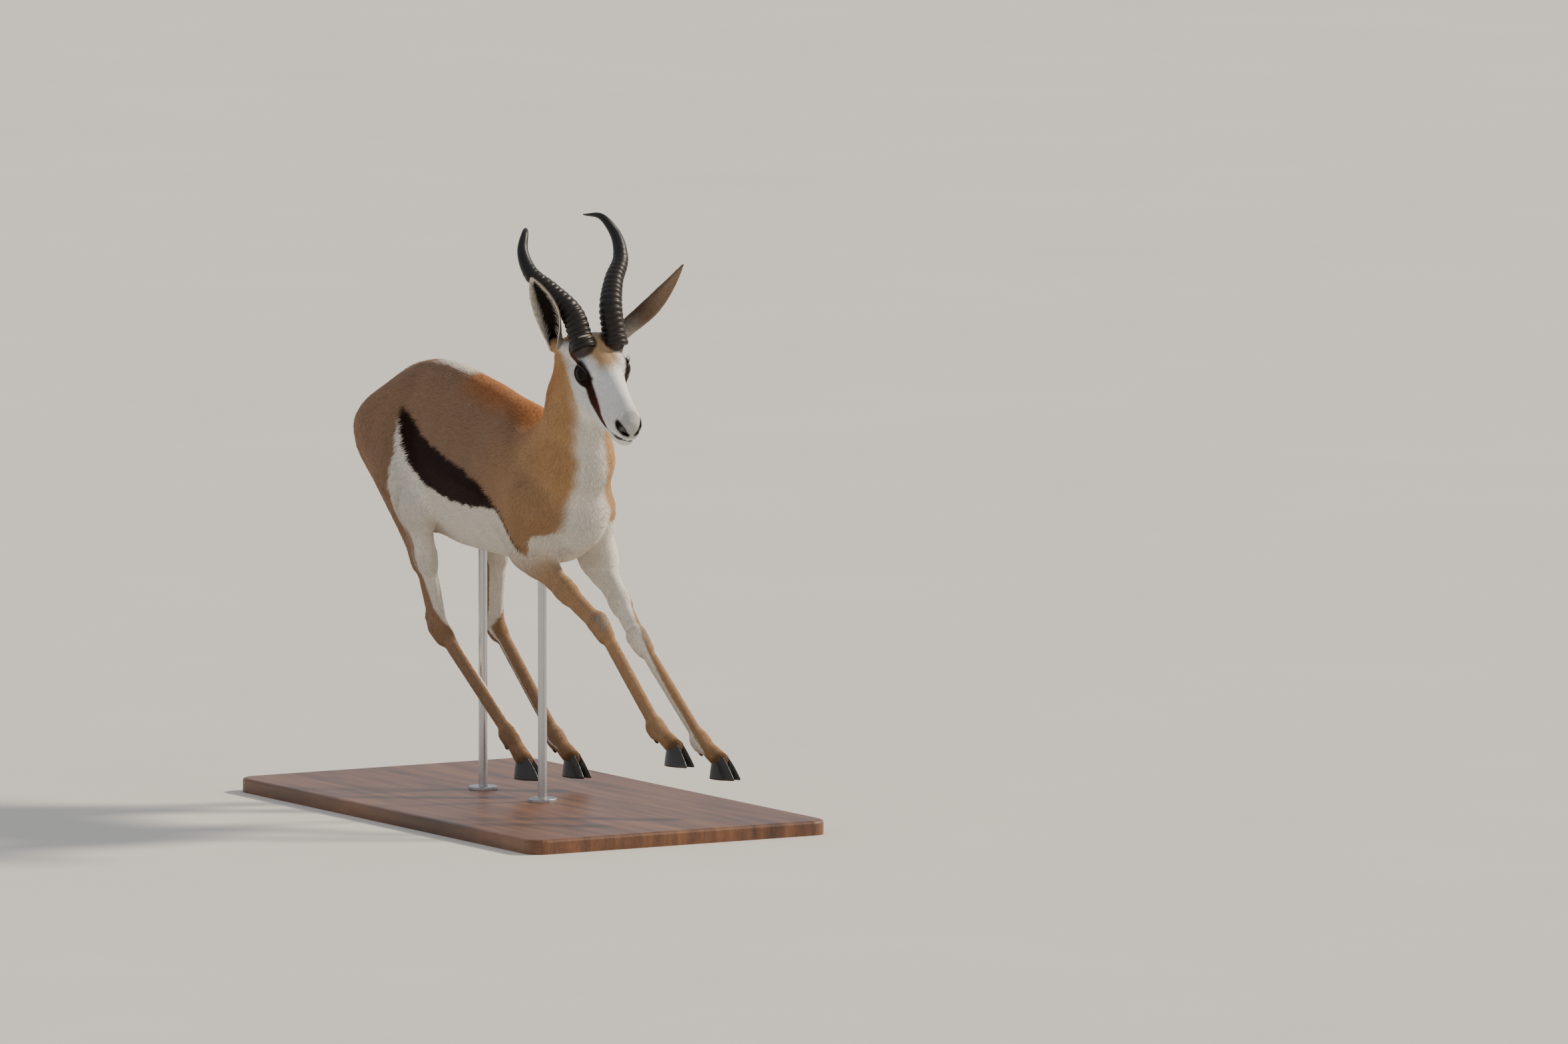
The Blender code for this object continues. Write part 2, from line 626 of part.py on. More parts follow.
def settle(forms, points, rounds=2, small=0.0004):
    """Moves points onto the surface, along the field's slope."""
    for _ in range(rounds):
        value = field_at(forms, points)
        slope = np.stack(
            [field_at(forms, points + small * e) - field_at(forms, points - small * e) for e in np.eye(3)], 1
        ) / (2 * small)
        size = np.maximum((slope**2).sum(1), 0.05)
        points = points - np.clip(value / size, -0.004, 0.004)[:, None] * slope
    return points


def material(name, colour, roughness, metallic=0.0):
    made = bpy.data.materials.new(name)
    made.use_nodes = True
    made.diffuse_color = (*colour, 1.0)
    shader = made.node_tree.nodes["Principled BSDF"]
    shader.inputs["Base Color"].default_value = (*colour, 1.0)
    shader.inputs["Roughness"].default_value = roughness
    shader.inputs["Metallic"].default_value = metallic
    return made


def new_object(name, points, faces):
    mesh = bpy.data.meshes.new(name)
    mesh.from_pydata([tuple(map(float, p)) for p in points], [], [tuple(map(int, f)) for f in faces])
    mesh.update()
    made = bpy.data.objects.new(name, mesh)
    bpy.context.collection.objects.link(made)
    return made


def apply_modifiers(obj):
    graph = bpy.context.evaluated_depsgraph_get()
    old = obj.data
    obj.data = bpy.data.meshes.new_from_object(obj.evaluated_get(graph))
    obj.modifiers.clear()
    bpy.data.meshes.remove(old)


def thinned(obj, triangles):
    """The same surface with about so many triangles, fewest where it is flattest."""
    thin = obj.modifiers.new("Thin", "DECIMATE")
    thin.ratio = triangles / sum(len(p.vertices) - 2 for p in obj.data.polygons)
    apply_modifiers(obj)
    return obj


def pieces_of(obj):
    """The separate closed surfaces of a mesh, as (points, faces), largest first."""
    mesh = obj.data
    points = np.empty(len(mesh.vertices) * 3)
    mesh.vertices.foreach_get("co", points)
    points = points.reshape(-1, 3)
    faces = [tuple(p.vertices) for p in mesh.polygons]
    group = np.arange(len(points))
    edges = np.empty(len(mesh.edges) * 2, int)
    mesh.edges.foreach_get("vertices", edges)
    a, b = edges.reshape(-1, 2).T
    while True:
        low = np.minimum(group[a], group[b])
        merged = group.copy()
        np.minimum.at(merged, a, low)
        np.minimum.at(merged, b, low)
        merged = merged[merged]
        if (merged == group).all():
            break
        group = merged
    found = []
    for root in np.unique(group):
        mine = [f for f in faces if group[f[0]] == root]
        if len(mine) < 4:
            continue
        used = np.flatnonzero(group == root)
        index = {int(v): i for i, v in enumerate(used)}
        found.append((points[used], [[index[v] for v in f] for f in mine]))
    return sorted(found, key=lambda piece: -len(piece[1]))


def cut(obj, cutters, operation="DIFFERENCE"):
    """Cuts the closed tools out of an object, and clears them away."""
    group = bpy.data.collections.new("tools")
    bpy.context.scene.collection.children.link(group)
    for tool in cutters:
        bpy.context.collection.objects.unlink(tool)
        group.objects.link(tool)
    step = obj.modifiers.new("Cut", "BOOLEAN")
    step.operation = operation
    step.operand_type = "COLLECTION"
    step.collection = group
    apply_modifiers(obj)
    for tool in cutters:
        bpy.data.objects.remove(tool)
    bpy.data.collections.remove(group)
    return obj


def facing(direction, across=(0, 1, 0)):
    """Rows: across, then square to it, then the direction."""
    z = unit(direction)
    x = unit(np.asarray(across, float) - z * (np.asarray(across, float) @ z))
    return np.array([x, np.cross(z, x), z])


def disc(centre, direction, radius, thickness, sides=24, offset=0.0, stretch=1.0):
    """A flat round tool. It starts at offset along the direction and is so thick."""
    rows = facing(direction, LEFTWARD)
    turn_ = 2 * np.pi * (np.arange(sides) + 0.5) / sides
    ring = np.stack([radius * np.cos(turn_), radius * stretch * np.sin(turn_)], 1)
    points = [centre + p @ rows[:2] + rows[2] * z for z in (offset, offset + thickness) for p in ring]
    faces = [list(range(sides))[::-1], list(range(sides, 2 * sides))]
    faces += [[i, (i + 1) % sides, sides + (i + 1) % sides, sides + i] for i in range(sides)]
    return new_object("tool", points, faces)


def lofted(rings):
    """Faces for closed rings of equal length laid one after another, with both ends closed."""
    count, sides = len(rings), len(rings[0])
    faces = [list(range(sides))[::-1], list(range((count - 1) * sides, count * sides))]
    for r in range(count - 1):
        for i in range(sides):
            j = (i + 1) % sides
            faces.append([r * sides + i, r * sides + j, (r + 1) * sides + j, (r + 1) * sides + i])
    return np.concatenate(rings), faces


def swept(path, radii, sides, ridge=None):
    """A closed tube along points, each ring square to the path, turned as little as possible."""
    path = np.asarray(path, float)
    way = np.gradient(path, axis=0)
    way /= np.linalg.norm(way, axis=1)[:, None]
    across = np.cross(way[0], (0.3, 0.2, 1.0))
    rings = []
    angle = 2 * np.pi * np.arange(sides) / sides
    for p, w, r in zip(path, way, radii):
        across = unit(across - w * (across @ w))
        up = np.cross(w, across)
        radius = r if ridge is None else r * ridge
        rings.append(p + np.outer(np.cos(angle) * radius, across) + np.outer(np.sin(angle) * radius, up))
    return lofted(rings)


def curve_through(points, count):
    """Evenly spaced points on a smooth curve through the given ones, and their share of its length."""
    points = np.asarray(points, float)
    t = np.concatenate([[0], np.cumsum(np.linalg.norm(np.diff(points, axis=0), axis=1))])
    columns = [smooth_curve(list(zip(t, points[:, i])), 1) for i in range(points.shape[1])]
    return np.stack([c(np.linspace(0, t[-1], count)) for c in columns], 1)


def horn_line(side):
    """The horn's middle line and radius, in even steps from its root to its tip."""
    path = [sided(np.add(HORN_BASE, p) + moved, SIDES[side]) for p, moved in zip(HORN_PATH, HORN_SHIFT[side])]
    return curve_through(np.column_stack([path, HORN_RADII]), HORN_STEPS)


def horn(side):
    """A ringed horn: ridges over its lower two thirds, fading into a smooth hooked tip."""
    rows = HORN_RINGS * 2
    full = horn_line(side)
    steps = np.concatenate([
        np.linspace(0, HORN_RINGED_SHARE, rows, endpoint=False),
        np.linspace(HORN_RINGED_SHARE, 1, 9),
    ])
    at = np.column_stack([np.interp(steps, np.linspace(0, 1, HORN_STEPS), full[:, i]) for i in range(4)])
    phase = steps / HORN_RINGED_SHARE * HORN_RINGS
    ridge = np.where(steps < HORN_RINGED_SHARE, RING_DEPTH * np.cos(2 * np.pi * (phase - 0.5)), 0)
    ridge *= np.clip((HORN_RINGED_SHARE - steps) / 0.12, 0, 1)
    start = unit(at[1, :3] - at[0, :3])
    return new_object(f"horn_{side}", *swept(at[:, :3] + start * GAP, at[:, 3] * (1 + ridge), 10))


def horn_room(side):
    """The first stretch of the horn with its gap, as a tool: the skull closes round the horn's root."""
    line = horn_line(side)[:40:4]
    sides = 18
    radii = (line[:, 3] * (1 + RING_DEPTH) + GAP) / math.cos(math.pi / sides)
    return new_object("tool", *swept(line[:, :3], radii, sides))


def ear_frame(side):
    axis = unit(EAR_AXIS[side])
    opening = unit(np.array(EAR_OPENING[side]) - axis * (np.array(EAR_OPENING[side]) @ axis))
    return sided(EAR_BASE, SIDES[side]) + axis * 0.010, axis, opening, np.cross(axis, opening)


def ear(side):
    """A leaf rolled into a cup: almost a tube at its root, wide and open half way, pointed at the tip."""
    root, axis, opening, across = ear_frame(side)
    radius_at, half_at = smooth_curve(EAR_STATIONS, 1), smooth_curve(EAR_STATIONS, 2)
    u = np.linspace(0, 1, 11)
    v = np.linspace(-1, 1, 9)
    radius, half = radius_at(u)[:, None], np.radians(half_at(u))[:, None]
    wall = np.minimum(EAR_WALL, 0.35 * radius)
    lean = EAR_LEAN * np.sin(np.pi * u)[:, None]
    sheets = []
    for r in (radius, radius - wall):
        out = -r * np.cos(v * half) + (radius - radius[0]) * 0.75 - lean
        side_way = r * np.sin(v * half)
        along_ear = (GAP + u[:, None, None] * EAR_LENGTH) * axis
        sheets.append(root + along_ear + out[..., None] * opening + side_way[..., None] * across)
    rows, columns = sheets[0].shape[:2]
    outer = np.arange(rows * columns).reshape(rows, columns)
    inner = outer + rows * columns
    faces = []
    for r in range(rows - 1):
        for c in range(columns - 1):
            a, b, d, e = (r, c), (r, c + 1), (r + 1, c + 1), (r + 1, c)
            faces += [[outer[a], outer[b], outer[d]], [outer[a], outer[d], outer[e]]]
            faces += [[inner[b], inner[a], inner[d]], [inner[d], inner[a], inner[e]]]
    border = [(0, c) for c in range(columns)] + [(r, columns - 1) for r in range(1, rows)]
    border += [(rows - 1, c) for c in range(columns - 2, -1, -1)] + [(r, 0) for r in range(rows - 2, 0, -1)]
    for a, b in zip(border, border[1:] + border[:1]):
        faces.append([outer[b], outer[a], inner[a], inner[b]])
    made = new_object(f"ear_{side}", np.concatenate([s.reshape(-1, 3) for s in sheets]), faces)
    face_outward(made)
    return made


def ear_cut(side):
    root, axis, _, _ = ear_frame(side)
    return disc(root, axis, 0.022, 0.026)


def ball(centre, radius, rows=9, sides=16, pole=(0, 0, 1)):
    frame = facing(pole)
    rings = []
    for r in range(1, rows):
        a = np.pi * r / rows
        turn_ = 2 * np.pi * np.arange(sides) / sides
        ring = np.stack([np.sin(a) * np.cos(turn_), np.sin(a) * np.sin(turn_), np.full(sides, -np.cos(a))], 1)
        rings.append(centre + radius * ring @ frame)
    points, faces = lofted(rings)
    faces = faces[2:]
    points = np.concatenate([points, [centre - radius * frame[2], centre + radius * frame[2]]])
    low, high, last = len(points) - 2, len(points) - 1, (rows - 2) * sides
    for i in range(sides):
        j = (i + 1) % sides
        faces += [[low, j, i], [high, last + i, last + j]]
    return points, faces


def eye(side):
    sign = SIDES[side]
    return new_object(f"eye_{side}", *ball(sided(EYE_PLACE, sign), EYE_RADIUS, 8, 14, eye_axes(sign)[2]))


def eye_cuts(side):
    """The ball's own room, and the almond opening between the lids."""
    sign = SIDES[side]
    centre = sided(EYE_PLACE, sign)
    room = new_object("tool", *ball(centre, EYE_RADIUS + GAP, 12, 24, eye_axes(sign)[2]))
    slit, over, out = eye_axes(sign)
    half_long, half_high = EYE_SLIT
    s = np.concatenate([np.linspace(-1, 1, 12)[:-1], np.linspace(1, -1, 12)[:-1]])
    bow = np.where(np.arange(22) < 11, -1.0, 1.0) * (1 - s**2) ** 0.8
    outline = np.outer(s * half_long, slit) + np.outer(bow * half_high, over)
    if np.dot(np.cross(slit, over), out) < 0:
        outline = outline[::-1]
    steps = ((0.55, 0.004), (1.0, EYE_RADIUS * 0.8), (1.15, 0.034))
    rings = [centre + outline * k + out * z for k, z in steps]
    return [room, new_object("tool", *lofted(rings))]


def hoof(end, side, toe, sign):
    """One toe's hoof: its top lies on the coronet's plane and its sole is level."""
    _, _, _, fetlock, coronet = JOINTS[end, side]
    pastern = unit(coronet - fetlock)
    plane = coronet_way(end, side)
    ahead = unit(np.array([pastern[0], pastern[1], 0.0]))
    across = np.cross((0, 0, 1), ahead) * sign
    top_ahead = unit(ahead - plane * (ahead @ plane))
    top_across = unit(across - plane * (across @ plane))
    angle = 2 * np.pi * np.arange(12) / 12
    long, wide = np.cos(angle), np.sin(angle)
    wide = wide * np.where(wide < 0, HOOF_INNER, 1.0) * (1 - HOOF_TAPER * np.clip(long, 0, 1) ** 1.6)
    rings = []
    sole = coronet + ahead * SOLE_AHEAD - np.array([0, 0, HOOF_HEIGHT])
    for k, length, width, spread in HOOF_RINGS:
        fore, aside = unit(top_ahead * (1 - k) + ahead * k), unit(top_across * (1 - k) + across * k)
        centre = (coronet + plane * GAP) * (1 - k) + sole * k
        middle = HOOF_SPLIT + spread + width * HOOF_INNER / 2
        rings.append(centre + np.outer(long * length / 2, fore) + np.outer(wide * width / 2 + middle, aside))
    points, faces = lofted(rings)
    made = new_object(f"hoof_{end}_{side}_{toe}", points, faces)
    face_outward(made)
    return made


def face_outward(obj):
    shape = bmesh.new()
    shape.from_mesh(obj.data)
    bmesh.ops.recalc_face_normals(shape, faces=shape.faces)
    shape.to_mesh(obj.data)
    shape.free()


def coronet_way(end, side):
    _, _, _, fetlock, coronet = JOINTS[end, side]
    along_pastern, down = CORONET_TILT
    return unit(along_pastern * unit(coronet - fetlock) - np.array([0, 0, down]))


def tail_line():
    """The tail's middle line and its radius, from the rump to the tip."""
    start = trunk_point(TAIL_ROOT) + TRUNK_TURN @ unit(TAIL_WAY) * GAP / 2
    path = [start] + [start + TRUNK_TURN @ np.array(p) for p in TAIL_PATH]
    return curve_through(path, 11), np.interp(np.linspace(0, 1, 11), *TAIL_RADII)


def tail_room():
    """The upper half of the tail with a little room round it, as a tool: the rump stays clear of it."""
    points, radii = tail_line()
    return new_object("tool", *swept(points[:7], radii[:7] + TAIL_ROOM, 12))


def tail():
    """A thin hanging tail that ends in a tuft of overlapping locks."""
    points, radii = tail_line()
    core = new_object("tail", *swept(points, radii, 8))
    locks = []
    rng = np.random.default_rng(7)
    for i in range(TAIL_LOCKS):
        angle = 2 * np.pi * i / TAIL_LOCKS
        out = np.array([math.cos(angle), math.sin(angle), 0])
        at = points[7 + i % 2] + out * 0.002
        length = 0.052 + 0.014 * rng.random()
        bend = [at, at + out * 0.0085 + (0, 0, -0.35 * length), at + out * 0.0075 + (0, 0, -length)]
        locks.append(new_object("tool", *swept(curve_through(bend, 4), LOCK_RADII, 5)))
    return cut(core, locks, "UNION")


def belly_above(x, y):
    """The height of the body's underside over a point of the base."""
    forms = body_forms()
    heights = np.arange(0.36, 0.62, 0.001)
    column = np.stack([np.full(len(heights), x), np.full(len(heights), y), heights], 1)
    inside = field_at(forms, column) < 0
    return heights[np.argmax(inside)]


def rod(name):
    """A round rod with a foot plate, from the base's top to its hole in the body."""
    x, y = RODS[name]
    foot_radius, foot_height = ROD_FLANGE
    floor = BASE_SIZE[2] + GAP
    top = belly_above(x, y) + ROD_DEPTH
    angle = 2 * np.pi * np.arange(16) / 16
    circle = np.column_stack([np.cos(angle), np.sin(angle), np.zeros(16)])
    foot_top = floor + foot_height
    outline = [
        (foot_radius, floor), (foot_radius, foot_top - FLANGE_EASE), (foot_radius - FLANGE_EASE, foot_top),
        (ROD_RADIUS, foot_top), (ROD_RADIUS, top),
    ]
    return new_object(name, *lofted([np.array([x, y, z]) + circle * r for r, z in outline]))


def rod_hole(name):
    x, y = RODS[name]
    top = belly_above(x, y) + ROD_DEPTH + GAP
    return disc(np.array([x, y, top]), (0, 0, -1), ROD_RADIUS + GAP * 1.3, 0.12, 16)


def base():
    """The stand's board, with its edges eased."""
    made = bpy.data.objects.new("stand_base", bpy.data.meshes.new("stand_base"))
    bpy.context.collection.objects.link(made)
    shape = bmesh.new()
    bmesh.ops.create_cube(shape, size=1.0)
    bmesh.ops.scale(shape, vec=BASE_SIZE, verts=shape.verts)
    bmesh.ops.translate(shape, vec=(0, 0, BASE_SIZE[2] / 2), verts=shape.verts)
    upright = [e for e in shape.edges if abs(e.verts[0].co.z - e.verts[1].co.z) > 0.01]
    bmesh.ops.bevel(shape, geom=upright, offset=BASE_CORNER, segments=5, affect="EDGES", profile=0.5)
    rim = [e for e in shape.edges if min(e.verts[0].co.z, e.verts[1].co.z) > BASE_SIZE[2] - 0.001]
    bmesh.ops.bevel(shape, geom=rim, offset=BASE_EDGE, segments=2, affect="EDGES", profile=0.5)
    shape.to_mesh(made.data)
    shape.free()
    return made


def body_cuts():
    """Every thin cut through the body, and the points that name the pieces between them."""
    cuts, inside = [], {}

    def slice_at(centre, direction, radius, stretch=1.0):
        cuts.append(disc(np.asarray(centre, float), direction, radius, GAP, 24, -GAP / 2, stretch))

    slice_at(trunk_point(BARREL_CUT), TRUNK_TURN[:, 0], 0.20)
    slice_at(PLACE + np.array(NECK_CUT[0]), NECK_CUT[1], 0.120)
    slice_at(PLACE + np.array(HEAD_CUT[0]), HEAD_CUT[1], 0.115)
    cuts.append(disc(trunk_point(TAIL_ROOT), TRUNK_TURN @ unit(TAIL_WAY), 0.024, 0.03, 24, -GAP / 2))
    cuts.append(tail_room())
    inside["torso"] = trunk_point((0.06, 0, 0.76))
    inside["hindquarters"] = trunk_point((-0.25, 0, 0.74))
    inside["neck"] = PLACE + np.array((0.30, -0.012, 0.76))
    inside["head"] = head_point((0.15, 0, 0.0))
    for side in SIDES:
        _, elbow, knee, fetlock, coronet = JOINTS["fore", side]
        name = f"foreleg_{side}"
        arm, cannon = unit(knee - elbow), unit(fetlock - knee)
        slice_at(mid(elbow, knee, FOREARM_CUT), arm, 0.042)
        slice_at(knee + cannon * UNDER_KNEE, cannon, 0.028)
        slice_at(fetlock - cannon * OVER_FETLOCK, cannon, 0.026)
        inside[f"{name}_upper"] = mid(elbow, knee, 0.75)
        inside[f"{name}_cannon"] = mid(knee, fetlock, 0.5)
        inside[f"{name}_pastern"] = mid(fetlock, coronet, 0.4)
        _, stifle, hock, fetlock, coronet = JOINTS["hind", side]
        name = f"hindleg_{side}"
        shin, cannon = unit(hock - stifle), unit(fetlock - hock)
        slice_at(mid(stifle, hock, GASKIN_CUT), shin, 0.060)
        slice_at(hock + cannon * UNDER_HOCK, cannon, 0.030)
        slice_at(fetlock - cannon * OVER_FETLOCK, cannon, 0.026)
        inside[f"{name}_upper"] = mid(stifle, hock, 0.75)
        inside[f"{name}_cannon"] = mid(hock, fetlock, 0.5)
        inside[f"{name}_pastern"] = mid(fetlock, coronet, 0.4)
        for end in ("fore", "hind"):
            cuts.append(disc(JOINTS[end, side][4], coronet_way(end, side), 0.034, 0.045))
    for name in RODS:
        cuts.append(rod_hole(name))
    return cuts, inside


def meshed(low, high, step, triangles, name):
    forms = body_forms()
    points, faces = surface_net(*sample(forms, np.array(low), np.array(high), step))
    return thinned(new_object(name, settle(forms, points), faces), triangles)


def body_pieces():
    """The whole animal but its head, parted by thin cuts and named by the points inside."""
    whole = meshed(*BODY_BOX, BODY_STEP, BODY_TRIANGLES, "body")
    cuts, inside = body_cuts()
    cut(whole, cuts)
    pieces = pieces_of(whole)
    bpy.data.objects.remove(whole)
    made = {}
    for name, point in inside.items():
        nearest = min(pieces, key=lambda piece: np.linalg.norm(piece[0] - point, axis=1).min())
        made[name] = nearest
    bpy.data.objects.remove(new_object("spare", *made.pop("head")))
    return [new_object(name, *piece) for name, piece in made.items()]


def head():
    """The head from a finer grid, cut off at the neck, with rooms for the eyes, horns and ears."""
    middle = head_point(HEAD_MIDDLE)
    whole = meshed(middle - HEAD_ROOM, middle + HEAD_ROOM, HEAD_STEP, HEAD_TRIANGLES, "whole_head")
    face_outward(whole)
    centre, direction = PLACE + np.array(HEAD_CUT[0]), unit(HEAD_CUT[1])
    tools = [disc(centre, -direction, 0.16, 0.20, 24, -GAP / 2), mouth_cut()]
    for side in SIDES:
        tools += [horn_room(side), ear_cut(side), nostril_cut(side)] + eye_cuts(side)
    cut(whole, tools)
    largest = pieces_of(whole)[0]
    bpy.data.objects.remove(whole)
    return new_object("head", *largest)


def main():
    for obj in list(bpy.data.objects):
        bpy.data.objects.remove(obj)
    hide = material("coat_tan", (0.30, 0.17, 0.09), 0.85)
    white = material("coat_white", (0.75, 0.72, 0.68), 0.85)
    keratin = material("horn", (0.035, 0.03, 0.028), 0.45)
    hoof_black = material("hoof", (0.015, 0.014, 0.014), 0.5)
    dark_eye = material("eye", (0.01, 0.006, 0.004), 0.05)
    wood = material("stand_wood", (0.22, 0.11, 0.05), 0.5)
    steel = material("stand_steel", (0.55, 0.55, 0.56), 0.35, 1.0)
    made = {hide: body_pieces() + [head()], white: [tail()]}
    made[hide] += [ear(side) for side in SIDES]
    made[keratin] = [horn(side) for side in SIDES]
    made[dark_eye] = [eye(side) for side in SIDES]
    made[hoof_black] = [
        hoof(end, side, toe, way * sign)
        for end in ("fore", "hind")
        for side, sign in SIDES.items()
        for toe, way in (("inner", -1), ("outer", 1))
    ]
    made[wood] = [base()]
    made[steel] = [rod(name) for name in RODS]
    for kind, objects in made.items():
        for obj in objects:
            obj.data.materials.clear()
            obj.data.materials.append(kind)
            obj.data.shade_smooth()
            obj.data.set_sharp_from_angle(angle=math.radians(40))


main()
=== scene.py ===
# %% [markdown]
# A springbok on a display stand, in a banking leap.
#
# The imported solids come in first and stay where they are. They are the frame: everything made below is
# placed from the same named sizes, so nothing has to be fitted afterwards. The animal's flesh is then
# replaced by one continuous skin with a coat of short tufts, and the horns, eyes, ears, hooves and tail
# get finer pieces of their own.

# %% Load the frame
import math

import bmesh
import bpy
import numpy as np
from mathutils import Matrix


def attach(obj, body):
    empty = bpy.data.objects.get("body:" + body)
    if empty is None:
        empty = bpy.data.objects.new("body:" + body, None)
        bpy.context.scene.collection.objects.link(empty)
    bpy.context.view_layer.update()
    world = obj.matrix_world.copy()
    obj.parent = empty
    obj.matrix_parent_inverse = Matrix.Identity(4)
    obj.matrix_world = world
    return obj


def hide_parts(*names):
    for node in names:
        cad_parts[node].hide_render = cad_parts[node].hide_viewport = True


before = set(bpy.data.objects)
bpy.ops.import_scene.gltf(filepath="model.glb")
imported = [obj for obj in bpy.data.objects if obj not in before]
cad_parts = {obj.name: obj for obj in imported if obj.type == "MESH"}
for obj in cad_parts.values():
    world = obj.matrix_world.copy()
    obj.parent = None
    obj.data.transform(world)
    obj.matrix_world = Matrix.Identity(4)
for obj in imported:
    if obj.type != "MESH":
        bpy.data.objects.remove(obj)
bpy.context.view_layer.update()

# %% [markdown]
# Small helpers come first. Directions are unit arrays, a share runs from 0 to 1, and colours are written
# as the eye sees them, from 0 to 255, and turned into the linear light that a renderer works in.


# %% Helpers for directions, shares and colours
def unit(v):
    """A direction, or rows of directions: each divided by its own length."""
    v = np.asarray(v, float)
    return v / np.maximum(np.linalg.norm(v, axis=-1, keepdims=True), 1e-12)


def share(x, low, high):
    """0 below low, 1 above high, and 3t^2 - 2t^3 between them."""
    t = np.clip((np.asarray(x, float) - low) / (high - low), 0, 1)
    return t * t * (3 - 2 * t)


def between(x, low, high, soft):
    """1 between two edges, which are each blurred over a width."""
    return share(x, low - soft, low + soft) * (1 - share(x, high - soft, high + soft))


def paint(red, green, blue):
    """A colour as seen, turned into linear light: ((c + 0.055) / 1.055) to the power 2.4."""
    c = np.array([red, green, blue]) / 255
    return np.where(c < 0.04, c / 12.92, ((c + 0.055) / 1.055) ** 2.4)


def mixed(a, b, t):
    """Rows of colour on the straight line from a to b."""
    return a + (b - a) * np.asarray(t)[:, None]


def turn(axis, degrees):
    """The rotation about one axis of the world, 0 for X, 1 for Y and 2 for Z."""
    c, s = math.cos(math.radians(degrees)), math.sin(math.radians(degrees))
    made = np.eye(3)
    i, j = (axis + 1) % 3, (axis + 2) % 3
    made[i, i], made[j, j], made[i, j], made[j, i] = c, c, -s, s
    return made


def mid(a, b, t):
    """The point a share of the way from a to b."""
    return np.asarray(a) + (np.asarray(b) - np.asarray(a)) * t


# %% [markdown]
# The animal's sizes and its pose are the ones that the solids were made from. The trunk banks to its
# right and tips forward, the limbs hang from its joints at their own angles, and the head has a frame of
# its own: X from the poll to the nose, Y to its left and Z out of the brow.

# %% Named sizes of the pose
PLACE = np.array([-0.045, -0.052, 0.012])
TRUNK_TURN = turn(0, 8.9) @ turn(1, 3.2)
TRUNK_PIVOT = np.array([0.0, 0.0, 0.60])
HUMERUS, FOREARM, FORE_CANNON = 0.125, 0.205, 0.205
FEMUR, TIBIA, HIND_CANNON = 0.190, 0.235, 0.235
PASTERN = 0.056
FORE_POSE = {
    "right": [(-30, 10), (51, 12.5), (32.5, 7.5), (58, 8)],
    "left": [(-30, 17.4), (54, -7.3), (29, 12.5), (55, 12)],
}
HIND_POSE = {
    "right": [(49.5, -9), (-1.8, 7.3), (40, 8), (37, 8)],
    "left": [(39, 6.5), (-4, -7.0), (34, 6), (54, 6)],
}
SHOULDER_POINT = {"right": (0.262, -0.078, 0.600), "left": (0.238, 0.058, 0.545)}
HIP_JOINT = (-0.270, 0.068, 0.655)
SIDES = {"right": -1.0, "left": 1.0}
POLL = np.array([0.385, -0.021, 0.870])
HEAD_TURN = turn(2, -6.0) @ turn(1, 31.5) @ turn(0, 5.5)
LEFTWARD = TRUNK_TURN @ np.array([0.0, 1.0, 0.0])


def trunk_point(p):
    """Rotated about the trunk's pivot by its bank and tip, then moved over the base."""
    return (np.asarray(p, float) - TRUNK_PIVOT) @ TRUNK_TURN.T + TRUNK_PIVOT + PLACE


def in_trunk(p):
    """The way back: a place in the room, in the upright trunk's own measures."""
    return (p - PLACE - TRUNK_PIVOT) @ TRUNK_TURN + TRUNK_PIVOT


def head_point(p):
    """From the head's own frame into the room."""
    return POLL + PLACE + np.asarray(p, float) @ HEAD_TURN.T


def in_head(p):
    """From the room into the head's own frame."""
    return (p - POLL - PLACE) @ HEAD_TURN


def sided(p, sign):
    """A point of the head's left side, or its mirror image on the right."""
    return head_point((p[0], sign * p[1], p[2]))


def along(forward, left):
    """The direction so many degrees forward of straight down and so many to the left."""
    f, s = math.radians(forward), math.radians(left)
    return np.array([math.sin(f) * math.cos(s), math.sin(s), -math.cos(f) * math.cos(s)])


def chain(start, bones, angles):
    """Joints one after another: each is the last one plus the bone's length along its direction."""
    steps = [length * along(*pose) for length, pose in zip(bones, angles)]
    return list(trunk_point(np.cumsum([np.array(start, float)] + steps, axis=0)))


JOINTS = {}
for side, sign in SIDES.items():
    hip = (HIP_JOINT[0], sign * HIP_JOINT[1], HIP_JOINT[2])
    fore_bones = (HUMERUS, FOREARM, FORE_CANNON, PASTERN)
    hind_bones = (FEMUR, TIBIA, HIND_CANNON, PASTERN)
    JOINTS["fore", side] = chain(SHOULDER_POINT[side], fore_bones, FORE_POSE[side])
    JOINTS["hind", side] = chain(hip, hind_bones, HIND_POSE[side])
print("limb ends", {k: np.round(v[-1], 3).tolist() for k, v in JOINTS.items()})

# %% [markdown]
# A photograph taken from far away with a long lens shows almost no perspective. The camera therefore
# stands far off, at the photograph's bearing and height, and its long lens frames the same width of the
# world. The floor is pale and plain, one large soft lamp plays the low sun behind the animal's left, and
# an even sky fills the shaded side, as open ground does.

# %% Camera, floor and light
CAMERA_BEARING, CAMERA_HEIGHT = 59.9, 6.2
PIXELS_PER_METRE = 849.8
IMAGE_WIDTH, IMAGE_HEIGHT = 2356, 1568
ORIGIN_PIXEL = (738.6, 1210.7)
CAMERA_DISTANCE = 36.0
SENSOR = 36.0
FLOOR_SIZE = 160.0
SUN_DIRECTION = (0.25, 0.85, 0.62)

